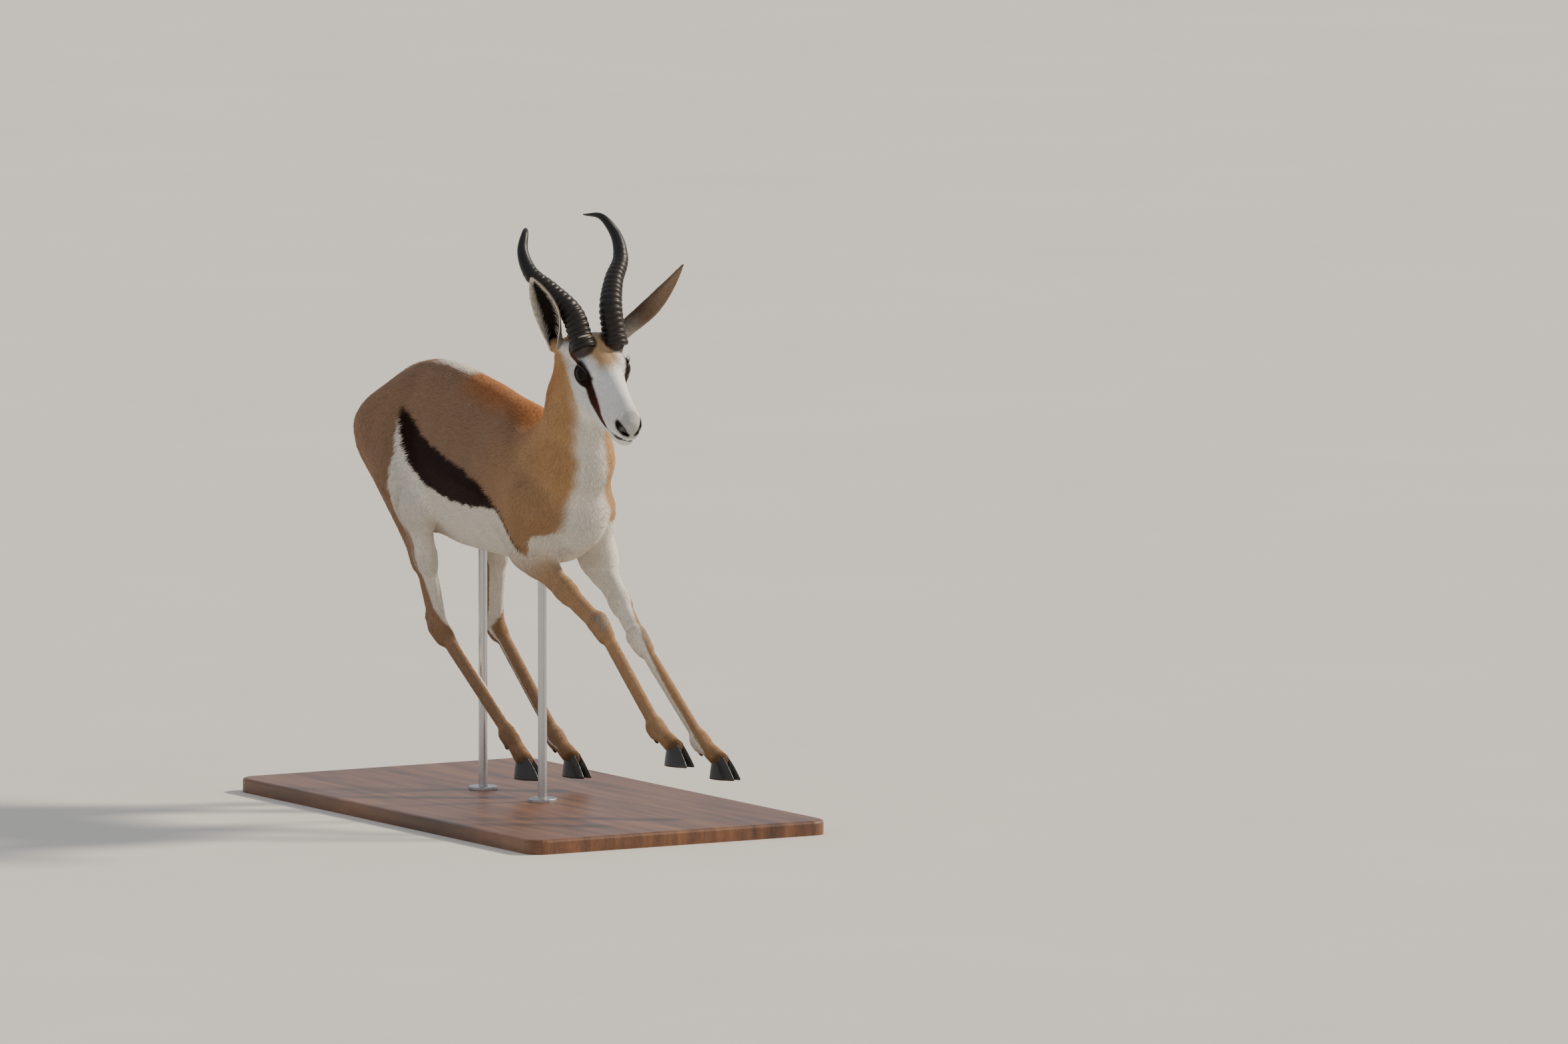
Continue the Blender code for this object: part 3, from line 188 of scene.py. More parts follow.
bearing, height = math.radians(CAMERA_BEARING), math.radians(CAMERA_HEIGHT)
RIGHTWARD = np.array([math.cos(bearing), math.sin(bearing), 0])
UPWARD = np.array([
    -math.sin(bearing) * math.sin(height), math.cos(bearing) * math.sin(height), math.cos(height),
])
TO_CAMERA = np.cross(RIGHTWARD, UPWARD)


def new_object(name, data):
    """An object in the scene's own collection."""
    made = bpy.data.objects.new(name, data)
    bpy.context.scene.collection.objects.link(made)
    return made


def aim(obj, place, back):
    """Puts a camera or a lamp at a place, looking away from the direction back."""
    back = unit(back)
    across = unit(np.cross((0, 0, 1), back))
    rows = np.array([across, np.cross(back, across), back])
    obj.location = place
    obj.rotation_euler = Matrix(rows.T.tolist()).to_euler()


def make_camera():
    """The middle of the picture, found in the room, and the lens: sensor x distance / frame width."""
    data = bpy.data.cameras.new("camera")
    made = new_object("camera", data)
    centre = (
        PLACE
        + RIGHTWARD * (IMAGE_WIDTH / 2 - ORIGIN_PIXEL[0]) / PIXELS_PER_METRE
        + UPWARD * (ORIGIN_PIXEL[1] - IMAGE_HEIGHT / 2) / PIXELS_PER_METRE
        + TO_CAMERA * 0.15
    )
    aim(made, centre + TO_CAMERA * CAMERA_DISTANCE, TO_CAMERA)
    data.sensor_width = SENSOR
    data.lens = SENSOR * CAMERA_DISTANCE * PIXELS_PER_METRE / IMAGE_WIDTH
    data.clip_end = 500
    bpy.context.scene.camera = made


def make_lights():
    """A sun whose disc is wide, so that shadows are soft, and a pale even sky."""
    sun = bpy.data.lights.new("sun", "SUN")
    sun.energy, sun.angle = 4.3, math.radians(8)
    sun.color = (1.0, 0.88, 0.70)
    aim(new_object("sun", sun), (0, 0, 5), SUN_DIRECTION)
    sky = bpy.data.worlds.new("sky")
    sky.use_nodes = True
    sky.node_tree.nodes["Background"].inputs["Color"].default_value = (0.90, 0.93, 1.0, 1)
    sky.node_tree.nodes["Background"].inputs["Strength"].default_value = 0.62
    bpy.context.scene.world = sky


make_camera()
make_lights()
print("lens", round(bpy.context.scene.camera.data.lens, 1), "mm")

# %% [markdown]
# Every surface below is worked out as whole arrays and handed to Blender in one go. The same helper also
# stores a colour for each point, a map for the coat, and the direction in which light should see each
# point, which lets short hair take the soft shading of the body under it.


# %% From arrays to meshes
def mesh_object(name, points, faces, colours=None, places=None, normals=None):
    """Points are rows of three, and faces rows of three or four point numbers."""
    faces = np.asarray(faces, np.int32)
    mesh = bpy.data.meshes.new(name)
    mesh.vertices.add(len(points))
    mesh.vertices.foreach_set("co", np.asarray(points, np.float32).ravel())
    mesh.loops.add(faces.size)
    mesh.loops.foreach_set("vertex_index", faces.ravel())
    mesh.polygons.add(len(faces))
    mesh.polygons.foreach_set("loop_start", np.arange(0, faces.size, faces.shape[1], dtype=np.int32))
    mesh.update(calc_edges=True)
    mesh.shade_smooth()
    if colours is not None:
        set_colours(mesh, colours)
    if places is not None:
        layer = mesh.uv_layers.new(name="OFBake")
        layer.data.foreach_set("uv", np.asarray(places, np.float32)[faces.ravel()].ravel())
    if normals is not None:
        mesh.normals_split_custom_set_from_vertices(np.asarray(normals, float).tolist())
    return new_object(name, mesh)


def set_colours(mesh, colours, name="coat"):
    """One colour for each point, kept as an attribute that the materials read."""
    full = np.ones((len(colours), 4), np.float32)
    full[:, :3] = np.clip(colours, 0, 1)
    layer = mesh.color_attributes.new(name, "FLOAT_COLOR", "POINT")
    layer.data.foreach_set("color", full.ravel())


def grid_faces(rows, columns, ring=False):
    """Four-sided faces of a grid of points, closed on itself across its columns if it is a ring."""
    r, c = np.meshgrid(np.arange(rows - 1), np.arange(columns if ring else columns - 1), indexing="ij")
    d = (c + 1) % columns
    return np.stack([r * columns + c, r * columns + d, (r + 1) * columns + d, (r + 1) * columns + c], -1).reshape(-1, 4)


def floor():
    """One large square under the stand."""
    half = FLOOR_SIZE / 2
    corners = np.array([(-half, -half, 0), (half, -half, 0), (half, half, 0), (-half, half, 0)])
    return mesh_object("floor", corners, [[0, 1, 2, 3]])


# %% [markdown]
# A mammal's body has no flat faces and no seams, so it is described by a field instead of by faces: a
# number at each place that is negative inside and positive outside. Each bone, muscle and bulge is one
# simple form, and neighbours melt into each other over a named distance. Each form also says which way
# its hair lies, so the coat can be combed by the same list.


# %% The forms that make up the body
def smooth_curve(stations, column):
    """Cubic pieces through the stations' values, with the mean slope of the neighbours at each."""
    xs = np.array([s[0] for s in stations], float)
    ys = np.array([s[column] for s in stations], float)
    slope = np.gradient(ys, xs)

    def value(x):
        x = np.clip(x, xs[0], xs[-1])
        i = np.clip(np.searchsorted(xs, x, side="right") - 1, 0, len(xs) - 2)
        h = xs[i + 1] - xs[i]
        t = (x - xs[i]) / h
        a, b = 2 * t**3 - 3 * t**2 + 1, t**3 - 2 * t**2 + t
        return a * ys[i] + b * h * slope[i] + (1 - a) * ys[i + 1] + (t**3 - t**2) * h * slope[i + 1]

    return value


REACH = 0.012


def tapered(a, b, ra, rb, part, blend=0.012, sign=1, lie=None):
    """Distance to the line from a to b, scaled by radii that change evenly from ra to rb."""
    a, b = np.asarray(a, float), np.asarray(b, float)
    length = np.linalg.norm(b - a)
    e1 = (b - a) / length
    e2 = unit(LEFTWARD - np.dot(LEFTWARD, e1) * e1)
    e3 = np.cross(e1, e2)

    def field(p):
        q = p - a
        t = q @ e1
        inside = np.clip(t, 0, length)
        k = inside / length
        r2, r3 = ra[0] + (rb[0] - ra[0]) * k, ra[1] + (rb[1] - ra[1]) * k
        r = np.sqrt((q @ e2 / r2) ** 2 + (q @ e3 / r3) ** 2 + ((t - inside) / np.sqrt(r2 * r3)) ** 2)
        return (r - 1) * np.minimum(r2, r3)

    reach = max(*ra, *rb) + blend + REACH
    combed = e1 if lie is None else unit(lie)
    return (np.minimum(a, b) - reach, np.maximum(a, b) + reach, blend, sign, field, combed, part)


def lump(centre, radii, axes, part, blend=0.012, sign=1, lie=(0, 0, -1)):
    """An egg: the length of the place divided by three radii, less one."""
    centre, radii, rows = np.asarray(centre, float), np.asarray(radii, float), np.asarray(axes, float)

    def field(p):
        q = (p - centre) @ rows.T
        return (np.sqrt(((q / radii) ** 2).sum(1)) - 1) * radii.min()

    reach = radii.max() + blend + REACH
    return (centre - reach, centre + reach, blend, sign, field, unit(lie), part)


def profile(place, turned, stations, part, blend, lie, squareness=2.2, end=0.6):
    """A body along its own x, with a rounded-square section whose half width narrows up and down."""
    top, bottom, width, upper, lower = (smooth_curve(stations, c) for c in range(1, 6))
    x0, x1 = stations[0][0], stations[-1][0]
    corners = np.array([place((x, y, z)) for x, t, b, w, _, _ in stations for y in (-w, w) for z in (t, b)])
    origin = place(np.zeros(3))

    def field(p):
        q = (p - origin) @ turned
        x = np.clip(q[:, 0], x0, x1)
        high, low = top(x), bottom(x)
        half = (high - low) / 2
        zeta = (q[:, 2] - (high + low) / 2) / half
        narrow = 1 - upper(x) * np.clip(zeta, 0, 1) - lower(x) * np.clip(-zeta, 0, 1)
        w = width(x) * np.clip(narrow, 0.25, 1)
        r = (np.abs(q[:, 1] / w) ** squareness + np.abs(zeta) ** squareness) ** (1 / squareness)
        r = np.sqrt(r**2 + ((q[:, 0] - x) / (np.minimum(half, width(x)) * end)) ** 2)
        return (r - 1) * np.minimum(half, w)

    reach = 0.03 + blend
    return (corners.min(0) - reach, corners.max(0) + reach, blend, 1, field, unit(lie), part)


# %% [markdown]
# The trunk is a profile along the back: the back line, the belly line and the width at eleven stations.
# The head is a profile of the same kind in its own frame. The parts are numbered so that each tuft of
# the coat later knows where it grows.

# %% Trunk, neck and head
HEAD, NECK, TORSO, RUMP, FORE_RIGHT, FORE_LEFT, HIND_RIGHT, HIND_LEFT = range(8)
TRUNK_STATIONS = [
    (-0.365, 0.634, 0.588, 0.038, 0.15, 0.0),
    (-0.335, 0.672, 0.560, 0.064, 0.30, 0.0),
    (-0.280, 0.727, 0.526, 0.082, 0.38, 0.0),
    (-0.210, 0.765, 0.474, 0.091, 0.36, 0.05),
    (-0.120, 0.780, 0.449, 0.093, 0.36, 0.10),
    (-0.030, 0.773, 0.447, 0.100, 0.38, 0.15),
    (0.060, 0.761, 0.449, 0.106, 0.45, 0.20),
    (0.140, 0.742, 0.451, 0.102, 0.58, 0.30),
    (0.205, 0.697, 0.460, 0.088, 0.62, 0.40),
    (0.265, 0.655, 0.476, 0.070, 0.50, 0.42),
    (0.312, 0.625, 0.504, 0.050, 0.30, 0.38),
]
HEAD_STATIONS = [
    (-0.012, -0.010, -0.078, 0.030, 0.25, 0.10),
    (0.015, 0.006, -0.096, 0.039, 0.30, 0.25),
    (0.045, 0.014, -0.107, 0.043, 0.25, 0.45),
    (0.080, 0.014, -0.112, 0.044, 0.22, 0.42),
    (0.110, 0.010, -0.107, 0.0395, 0.28, 0.30),
    (0.140, 0.006, -0.098, 0.0345, 0.36, 0.18),
    (0.170, 0.003, -0.089, 0.0312, 0.38, 0.12),
    (0.195, 0.001, -0.080, 0.0285, 0.34, 0.15),
    (0.213, -0.004, -0.073, 0.0255, 0.22, 0.25),
    (0.226, -0.014, -0.063, 0.0185, 0.10, 0.20),
]
NECK_LINE = [
    ((0.225, -0.002, 0.590), 0.070, 0.085),
    ((0.300, -0.004, 0.655), 0.060, 0.073),
    ((0.333, -0.012, 0.745), 0.047, 0.060),
    ((0.360, -0.026, 0.826), 0.040, 0.050),
]
BREAST = np.array([(0.282, 0.011, 0.630), (0.270, 0.009, 0.562)])
TAIL_ROOT = (-0.379, 0, 0.655)
EYE_PLACE = (0.0775, 0.0300, -0.0180)
EYE_WAY = (0.52, 1.0, 0.22)
EYE_RADIUS = 0.0203
EYE_SLIT = (0.0198, 0.0136)
LID = 0.0026
HORN_BASE = np.array([0.041, 0.031, 0.0205])
EAR_BASE = (-0.006, 0.055, -0.020)
EAR_AXIS = {"right": (0.478, -0.590, 0.735), "left": (-0.032, 0.710, 0.701)}

BACKWARD = TRUNK_TURN @ np.array([-1.0, 0.0, -0.30])
SHOULDER_LIE = TRUNK_TURN @ np.array([-0.55, 0.0, -0.83])
THIGH_LIE = TRUNK_TURN @ np.array([-0.45, 0.0, -0.89])
FACE_LIE = HEAD_TURN @ np.array([-1.0, 0.0, -0.08])


def eye_axes(sign):
    """Rows: along the slit of the eye towards the nose, up across it, and out of the head."""
    out = unit(HEAD_TURN @ (np.array(EYE_WAY) * (1, sign, 1)))
    slit = HEAD_TURN @ np.array([0.96, 0.0, -0.26])
    slit = unit(slit - out * (slit @ out))
    return np.array([slit, np.cross(slit, out) * sign, out])


def trunk_and_neck():
    forms = [profile(trunk_point, TRUNK_TURN, TRUNK_STATIONS, TORSO, 0.02, BACKWARD)]
    forms.append(tapered(PLACE + BREAST[0], PLACE + BREAST[1], (0.067, 0.047), (0.052, 0.041), TORSO, 0.050))
    for (a, sa, fa), (b, sb, fb) in zip(NECK_LINE, NECK_LINE[1:]):
        down_the_neck = np.subtract(a, b)
        forms.append(tapered(PLACE + a, PLACE + b, (sa, fa), (sb, fb), NECK, 0.030, lie=down_the_neck))
    rump = trunk_point((-0.335, 0, 0.672))
    forms.append(tapered(rump, trunk_point(TAIL_ROOT), (0.020, 0.022), (0.0125, 0.0115), RUMP, 0.02))
    return forms


def head_forms():
    """Skull, cheeks, brows, lids, horn and ear roots, nostril wings, chin and forehead."""
    rows = HEAD_TURN.T
    forms = [profile(head_point, HEAD_TURN, HEAD_STATIONS, HEAD, 0.012, FACE_LIE, 2.3, 0.5)]
    for side, sign in SIDES.items():
        x, y, z = EYE_PLACE
        ear_root = sided(EAR_BASE, sign)
        horn_low, horn_high = sided(HORN_BASE - (0.004, 0.006, 0.020), sign), sided(HORN_BASE + (-0.004, 0, 0.004), sign)
        ear_end = ear_root + 0.004 * unit(EAR_AXIS[side])
        forms += [
            lump(sided((0.052, 0.024, -0.068), sign), (0.042, 0.014, 0.032), rows, HEAD, 0.014, lie=FACE_LIE),
            lump(sided((x - 0.004, y - 0.008, z + 0.013), sign), (0.024, 0.013, 0.011), rows, HEAD, 0.010, lie=FACE_LIE),
            lump(sided((x, y, z), sign), [EYE_RADIUS + LID] * 3, eye_axes(sign), HEAD, 0.012, lie=FACE_LIE),
            tapered(horn_low, horn_high, (0.022, 0.023), (0.0205, 0.0215), HEAD, 0.012, lie=FACE_LIE),
            tapered(sided((0.008, 0.026, -0.022), sign), ear_end, (0.020, 0.021), (0.0130, 0.0138), HEAD, 0.016),
            lump(sided((0.214, 0.0150, -0.034), sign), (0.013, 0.009, 0.013), rows, HEAD, 0.006, lie=FACE_LIE),
        ]
    forms.append(lump(head_point((0.196, 0.0, -0.066)), (0.024, 0.0175, 0.0130), rows, HEAD, 0.014, lie=FACE_LIE))
    forms.append(lump(head_point((0.032, 0.0, 0.000)), (0.032, 0.038, 0.019), rows, HEAD, 0.014, lie=FACE_LIE))
    return forms


# %% [markdown]
# The legs follow the bones: shoulder, elbow, knee, fetlock and coronet in front, hip, stifle, hock,
# fetlock and coronet behind. A second, thinner form behind each cannon bone is the tendon, and the hock
# has its heel. They carry the shape of the leg far better than one tapering tube.


# %% Legs
def foreleg_forms(side):
    shoulder, elbow, knee, fetlock, coronet = JOINTS["fore", side]
    sign = SIDES[side]
    part = FORE_RIGHT if side == "right" else FORE_LEFT
    down = unit(fetlock - knee)
    back = unit(np.cross(LEFTWARD, down))
    arm_back = unit(np.cross(LEFTWARD, knee - elbow))
    blade_top = trunk_point((0.142, sign * 0.036, 0.668))
    triceps_top = trunk_point((0.135, sign * 0.062, 0.625))
    point_of_elbow = elbow + arm_back * 0.010 - (knee - elbow) * 0.05
    return [
        tapered(blade_top, shoulder, (0.018, 0.038), (0.022, 0.034), TORSO, 0.050, lie=SHOULDER_LIE),
        tapered(triceps_top, mid(elbow, shoulder, 0.15), (0.022, 0.050), (0.024, 0.030), TORSO, 0.045, lie=SHOULDER_LIE),
        tapered(shoulder, elbow, (0.024, 0.034), (0.022, 0.030), TORSO, 0.038, lie=SHOULDER_LIE),
        tapered(point_of_elbow, mid(elbow, knee, 0.12), (0.012, 0.014), (0.018, 0.024), part, 0.014),
        tapered(elbow, mid(elbow, knee, 0.55), (0.0225, 0.031), (0.0170, 0.0210), part, 0.020),
        tapered(mid(elbow, knee, 0.5), knee, (0.0165, 0.020), (0.0135, 0.0155), part, 0.010),
        tapered(knee - down * 0.012, knee + down * 0.014, (0.0175, 0.0185), (0.0160, 0.0170), part, 0.010),
        tapered(knee - back * 0.005, fetlock - back * 0.005, (0.0110, 0.0105), (0.0105, 0.0095), part, 0.006),
        tapered(knee + back * 0.005, fetlock + back * 0.005, (0.0075, 0.0080), (0.0070, 0.0075), part, 0.006),
        tapered(fetlock - down * 0.004, fetlock + down * 0.006, (0.0145, 0.0160), (0.0150, 0.0165), part, 0.010),
        tapered(fetlock, coronet, (0.0130, 0.0125), (0.0155, 0.0150), part, 0.010),
    ]


def hindleg_forms(side):
    hip, stifle, hock, fetlock, coronet = JOINTS["hind", side]
    sign = SIDES[side]
    part = HIND_RIGHT if side == "right" else HIND_LEFT
    down = unit(fetlock - hock)
    shin = unit(hock - stifle)
    back, shin_back = unit(np.cross(LEFTWARD, down)), unit(np.cross(LEFTWARD, shin))
    heel = hock + shin_back * 0.022 - shin * 0.020
    seat = trunk_point((-0.338, sign * 0.043, 0.640))
    gaskin = mid(stifle, hock, 0.42) - TRUNK_TURN @ np.array([0.012, 0, 0])
    loin = trunk_point((-0.215, sign * 0.046, 0.698))
    fold = trunk_point((-0.095, sign * 0.070, 0.560))
    return [
        tapered(loin, mid(hip, stifle, 0.6), (0.034, 0.048), (0.038, 0.043), RUMP, 0.040, lie=THIGH_LIE),
        tapered(hip, stifle, (0.044, 0.060), (0.021, 0.027), RUMP, 0.035, lie=THIGH_LIE),
        tapered(seat, gaskin, (0.034, 0.046), (0.015, 0.022), RUMP, 0.040, lie=THIGH_LIE),
        tapered(fold, mid(stifle, hock, 0.02), (0.009, 0.021), (0.011, 0.015), RUMP, 0.040, lie=THIGH_LIE),
        tapered(stifle, mid(stifle, hock, 0.45), (0.0190, 0.027), (0.0155, 0.0225), part, 0.025),
        tapered(mid(stifle, hock, 0.4), hock, (0.0160, 0.0220), (0.0135, 0.0165), part, 0.012),
        tapered(mid(stifle, hock, 0.42) + shin_back * 0.015, heel, (0.0090, 0.0120), (0.0080, 0.0085), part, 0.010),
        tapered(heel, hock + back * 0.008 + down * 0.012, (0.0100, 0.0110), (0.0120, 0.0140), part, 0.010),
        tapered(hock - down * 0.008, hock + down * 0.018, (0.0165, 0.0200), (0.0150, 0.0175), part, 0.010),
        tapered(hock - back * 0.005, fetlock - back * 0.005, (0.0115, 0.0120), (0.0105, 0.0095), part, 0.006),
        tapered(hock + back * 0.005, fetlock + back * 0.005, (0.0080, 0.0090), (0.0070, 0.0075), part, 0.006),
        tapered(fetlock - down * 0.004, fetlock + down * 0.006, (0.0145, 0.0165), (0.0150, 0.0170), part, 0.010),
        tapered(fetlock, coronet, (0.0130, 0.0125), (0.0155, 0.0150), part, 0.010),
    ]


# %% [markdown]
# The openings of the face are cut with forms that take away: a lens-shaped room over each eye, a comma
# for each nostril and a fine groove where the lips meet.


# %% Openings of the face
def curve_through(points, count):
    """Evenly spaced points on a smooth curve through the given rows."""
    points = np.asarray(points, float)
    t = np.concatenate([[0], np.cumsum(np.linalg.norm(np.diff(points[:, :3], axis=0), axis=1))])
    columns = [smooth_curve(list(zip(t, points[:, i])), 1) for i in range(points.shape[1])]
    return np.stack([c(np.linspace(0, t[-1], count)) for c in columns], 1)


def nostril_line(sign):
    return [sided(p, sign) for p in ((0.2300, 0.0065, -0.0415), (0.2265, 0.0165, -0.0345), (0.2145, 0.0265, -0.0240))]


def mouth_line():
    """Points round the muzzle where the lips meet, from the right corner to the left."""
    half = [
        (0.184, 0.0300, -0.0605), (0.198, 0.0285, -0.0592), (0.211, 0.0245, -0.0580),
        (0.2215, 0.0175, -0.0566), (0.2275, 0.0085, -0.0560),
    ]
    right = [head_point((x, -y, z)) for x, y, z in half]
    left = [head_point((x, y, z)) for x, y, z in reversed(half)]
    return right + [head_point((0.229, 0, -0.0558))] + left


def face_openings():
    cuts = []
    inward = HEAD_TURN @ np.array([-0.0030, 0, 0.0])
    for sign in SIDES.values():
        a, b, c = nostril_line(sign)
        cuts.append(tapered(a, b, (0.0016, 0.0016), (0.0040, 0.0040), HEAD, 0.005, -1))
        cuts.append(tapered(b, c, (0.0040, 0.0040), (0.0016, 0.0016), HEAD, 0.005, -1))
        cuts.append(tapered(a + inward, b + inward, (0.0012, 0.0012), (0.0040, 0.0040), HEAD, 0.002, -1))
        cuts.append(tapered(b + inward, c + inward, (0.0040, 0.0040), (0.0014, 0.0014), HEAD, 0.002, -1))
        axes = eye_axes(sign)
        lens = sided(EYE_PLACE, sign) + axes[2] * (EYE_RADIUS + 0.006)
        cuts.append(lump(lens, (EYE_SLIT[0], EYE_SLIT[1], 0.0125), axes, HEAD, 0.003, -1))
    path = curve_through(mouth_line(), 15)
    for a, b in zip(path, path[1:]):
        cuts.append(tapered(a, b, (0.0013, 0.0013), (0.0013, 0.0013), HEAD, 0.003, -1))
    return cuts


FORMS = trunk_and_neck() + head_forms()
for side in SIDES:
    FORMS += foreleg_forms(side) + hindleg_forms(side)
SOLID_FORMS = len(FORMS)
FORMS += face_openings()
print(len(FORMS), "forms")

# %% [markdown]
# To turn the field into a skin, it is sampled on a grid and one point is set in each cell that the
# surface crosses. An even grid fine enough for the eyelids would be far too fine for the flanks, so this
# one leans: its rows stand evenly through the body and crowd together as they rise into the head. The
# skin is laid inside the flesh by the coat's depth, so that hair fills what is left.

# %% The leaning grid
HEAD_FINE, TRUNK_COARSE = 0.0018, 0.0058


def graded(low, high, fine_low, fine_high):
    """Marks that are close together between two places and further apart outside them."""
    return np.concatenate([
        np.arange(fine_low, low, -TRUNK_COARSE)[:0:-1],
        np.arange(fine_low, fine_high, HEAD_FINE),
        np.arange(fine_high, high, TRUNK_COARSE),
    ])


X_HEAD = graded(-0.455, 0.545, 0.275, 0.530)
X_BODY = np.linspace(-0.455, 0.545, len(X_HEAD))
Y_HEAD = graded(-0.195, 0.180, -0.145, 0.000)
Y_BODY = np.linspace(-0.195, 0.180, len(Y_HEAD))
Z_ROWS = np.concatenate([np.arange(0.060, 0.640, 0.0041), np.arange(0.640, 0.700, 0.0028), np.arange(0.700, 0.915, 0.0018)])
LEAN = share(Z_ROWS, 0.600, 0.700)
X_AT = X_BODY[:, None] * (1 - LEAN) + X_HEAD[:, None] * LEAN
Y_AT = Y_BODY[:, None] * (1 - LEAN) + Y_HEAD[:, None] * LEAN


def coat_depth(p):
    """How deep the skin lies under the coat: most on the trunk and neck, least on face and feet."""
    leg = 1 - share(p[..., 2], 0.38, 0.50)
    face = share((p[..., 0] - 0.30) + (p[..., 2] - 0.76) * 0.6, -0.02, 0.05)
    return 0.0020 - 0.0012 * np.maximum(leg, face)


def blended(old, new, blend, sign):
    """The lower of two fields, less h^2 b / 4 where they differ by less than the blend b."""
    if sign < 0:
        return -blended(-old, new, blend, 1)
    h = np.maximum(blend - np.abs(old - new), 0) / blend
    return np.minimum(old, new) - h * h * blend / 4


def field_at(points):
    """The body's field at loose places, with the skin's depth added."""
    values = np.full(len(points), 0.05)
    for low, high, blend, sign, field, _, _ in FORMS:
        near = ((points > low) & (points < high)).all(1)
        if near.any():
            values[near] = blended(values[near], field(points[near]), blend, sign)
    return values + coat_depth(points)


def field_on_grid():
    """The same field on the leaning grid, form by form inside each form's own box."""
    values = np.full((len(X_BODY), len(Y_BODY), len(Z_ROWS)), 0.05)
    for low, high, blend, sign, field, _, _ in FORMS:
        k = np.flatnonzero((Z_ROWS >= low[2]) & (Z_ROWS <= high[2]))
        i = np.flatnonzero(((X_AT[:, k] >= low[0]) & (X_AT[:, k] <= high[0])).any(1))
        j = np.flatnonzero(((Y_AT[:, k] >= low[1]) & (Y_AT[:, k] <= high[1])).any(1))
        box = (slice(i[0], i[-1] + 1), slice(j[0], j[-1] + 1), slice(k[0], k[-1] + 1))
        x = np.broadcast_to(X_AT[box[0], None, box[2]], values[box].shape)
        y = np.broadcast_to(Y_AT[None, box[1], box[2]], values[box].shape)
        z = np.broadcast_to(Z_ROWS[box[2]], values[box].shape)
        new = field(np.stack([x.ravel(), y.ravel(), z.ravel()], 1)).reshape(values[box].shape)
        values[box] = blended(values[box], new, blend, sign)
    x = np.broadcast_to(X_AT[:, None, :], values.shape)
    z = np.broadcast_to(Z_ROWS, values.shape)
    return values + coat_depth(np.stack([x, x, z], -1))


# %% [markdown]
# The next function is the one that finds the skin. Wherever the field changes sign along an edge of the
# grid, the four cells round that edge are joined by one four-sided face, and each cell's point is the
# mean of the crossings on its own edges. A few steps down the field's slope then settle the points onto
# the surface itself.


# %% Find the skin
def surface_net(values):
    """One point in each crossed cell and one face at each crossed edge."""
    inside = values < 0
    shape = np.array(values.shape) - 1
    sums, cells_of, turned = [], [], []
    for axis in range(3):
        others = ((axis + 1) % 3, (axis + 2) % 3)
        head = np.moveaxis(inside, axis, 0)
        at = np.argwhere(np.moveaxis(head[:-1] != head[1:], 0, axis))
        at = at[(at[:, others[0]] > 0) & (at[:, others[1]] > 0)]
        at = at[(at[:, others[0]] < shape[others[0]]) & (at[:, others[1]] < shape[others[1]])]
        after = at.copy()
        after[:, axis] += 1
        v0, v1 = values[tuple(at.T)], values[tuple(after.T)]
        crossing = at.astype(float)
        crossing[:, axis] += v0 / (v0 - v1)
        ring = []
        for back in ((0, 0), (1, 0), (1, 1), (0, 1)):
            cell = at.copy()
            cell[:, others[0]] -= back[0]
            cell[:, others[1]] -= back[1]
            ring.append(np.ravel_multi_index(cell.T, values.shape))
        sums += [crossing] * 4
        cells_of += ring
        turned.append((np.stack(ring, 1), v0 > 0))
    names, index = np.unique(np.concatenate(cells_of), return_inverse=True)
    crossing = np.concatenate(sums)
    count = np.bincount(index)
    place = np.stack([np.bincount(index, crossing[:, i]) / count for i in range(3)], 1)
    faces = []
    for ring, flip in turned:
        quad = np.searchsorted(names, ring)
        quad[flip] = quad[flip][:, ::-1]
        faces.append(quad)
    return grid_place(place), np.concatenate(faces)


def grid_place(place):
    """From counts along the grid's rows to places in the room."""
    lean = np.interp(place[:, 2], np.arange(len(LEAN)), LEAN)
    made = np.empty_like(place)
    for i, (body, head) in enumerate(((X_BODY, X_HEAD), (Y_BODY, Y_HEAD))):
        marks = np.arange(len(body))
        made[:, i] = np.interp(place[:, i], marks, body) * (1 - lean) + np.interp(place[:, i], marks, head) * lean
    made[:, 2] = np.interp(place[:, 2], np.arange(len(Z_ROWS)), Z_ROWS)
    return made


def settle(points, rounds=2, small=0.0004):
    """Steps of value x slope / slope^2, none longer than 3 mm."""
    for _ in range(rounds):
        value = field_at(points)
        slope = np.stack([field_at(points + small * e) - field_at(points - small * e) for e in np.eye(3)], 1)
        slope /= 2 * small
        size = np.maximum((slope**2).sum(1), 0.05)
        points = points - np.clip(value / size, -0.003, 0.003)[:, None] * slope
    return points


SKIN_TRIANGLES = 190000
points, faces = surface_net(field_on_grid())
print("skin found:", len(points), "points,", len(faces), "faces")
skin = mesh_object("skin", settle(points), faces)


def thin(obj, triangles):
    """Joins points where the surface is flattest, until about so many triangles are left."""
    step = obj.modifiers.new("Thin", "DECIMATE")
    step.ratio = min(1.0, triangles / (2 * len(obj.data.polygons)))
    graph = bpy.context.evaluated_depsgraph_get()
    old = obj.data
    obj.data = bpy.data.meshes.new_from_object(obj.evaluated_get(graph))
    obj.modifiers.clear()
    bpy.data.meshes.remove(old)


thin(skin, SKIN_TRIANGLES)
print("skin kept:", len(skin.data.vertices), "points")

# %% [markdown]
# Colour comes before hair, because the skin and every tuft take theirs from the same rules. A rule asks
# where a place lies on the trunk, on the head or round a leg, and the answers of neighbouring parts are
# mixed by how near each part's own form is, so no marking breaks where a leg joins the body.

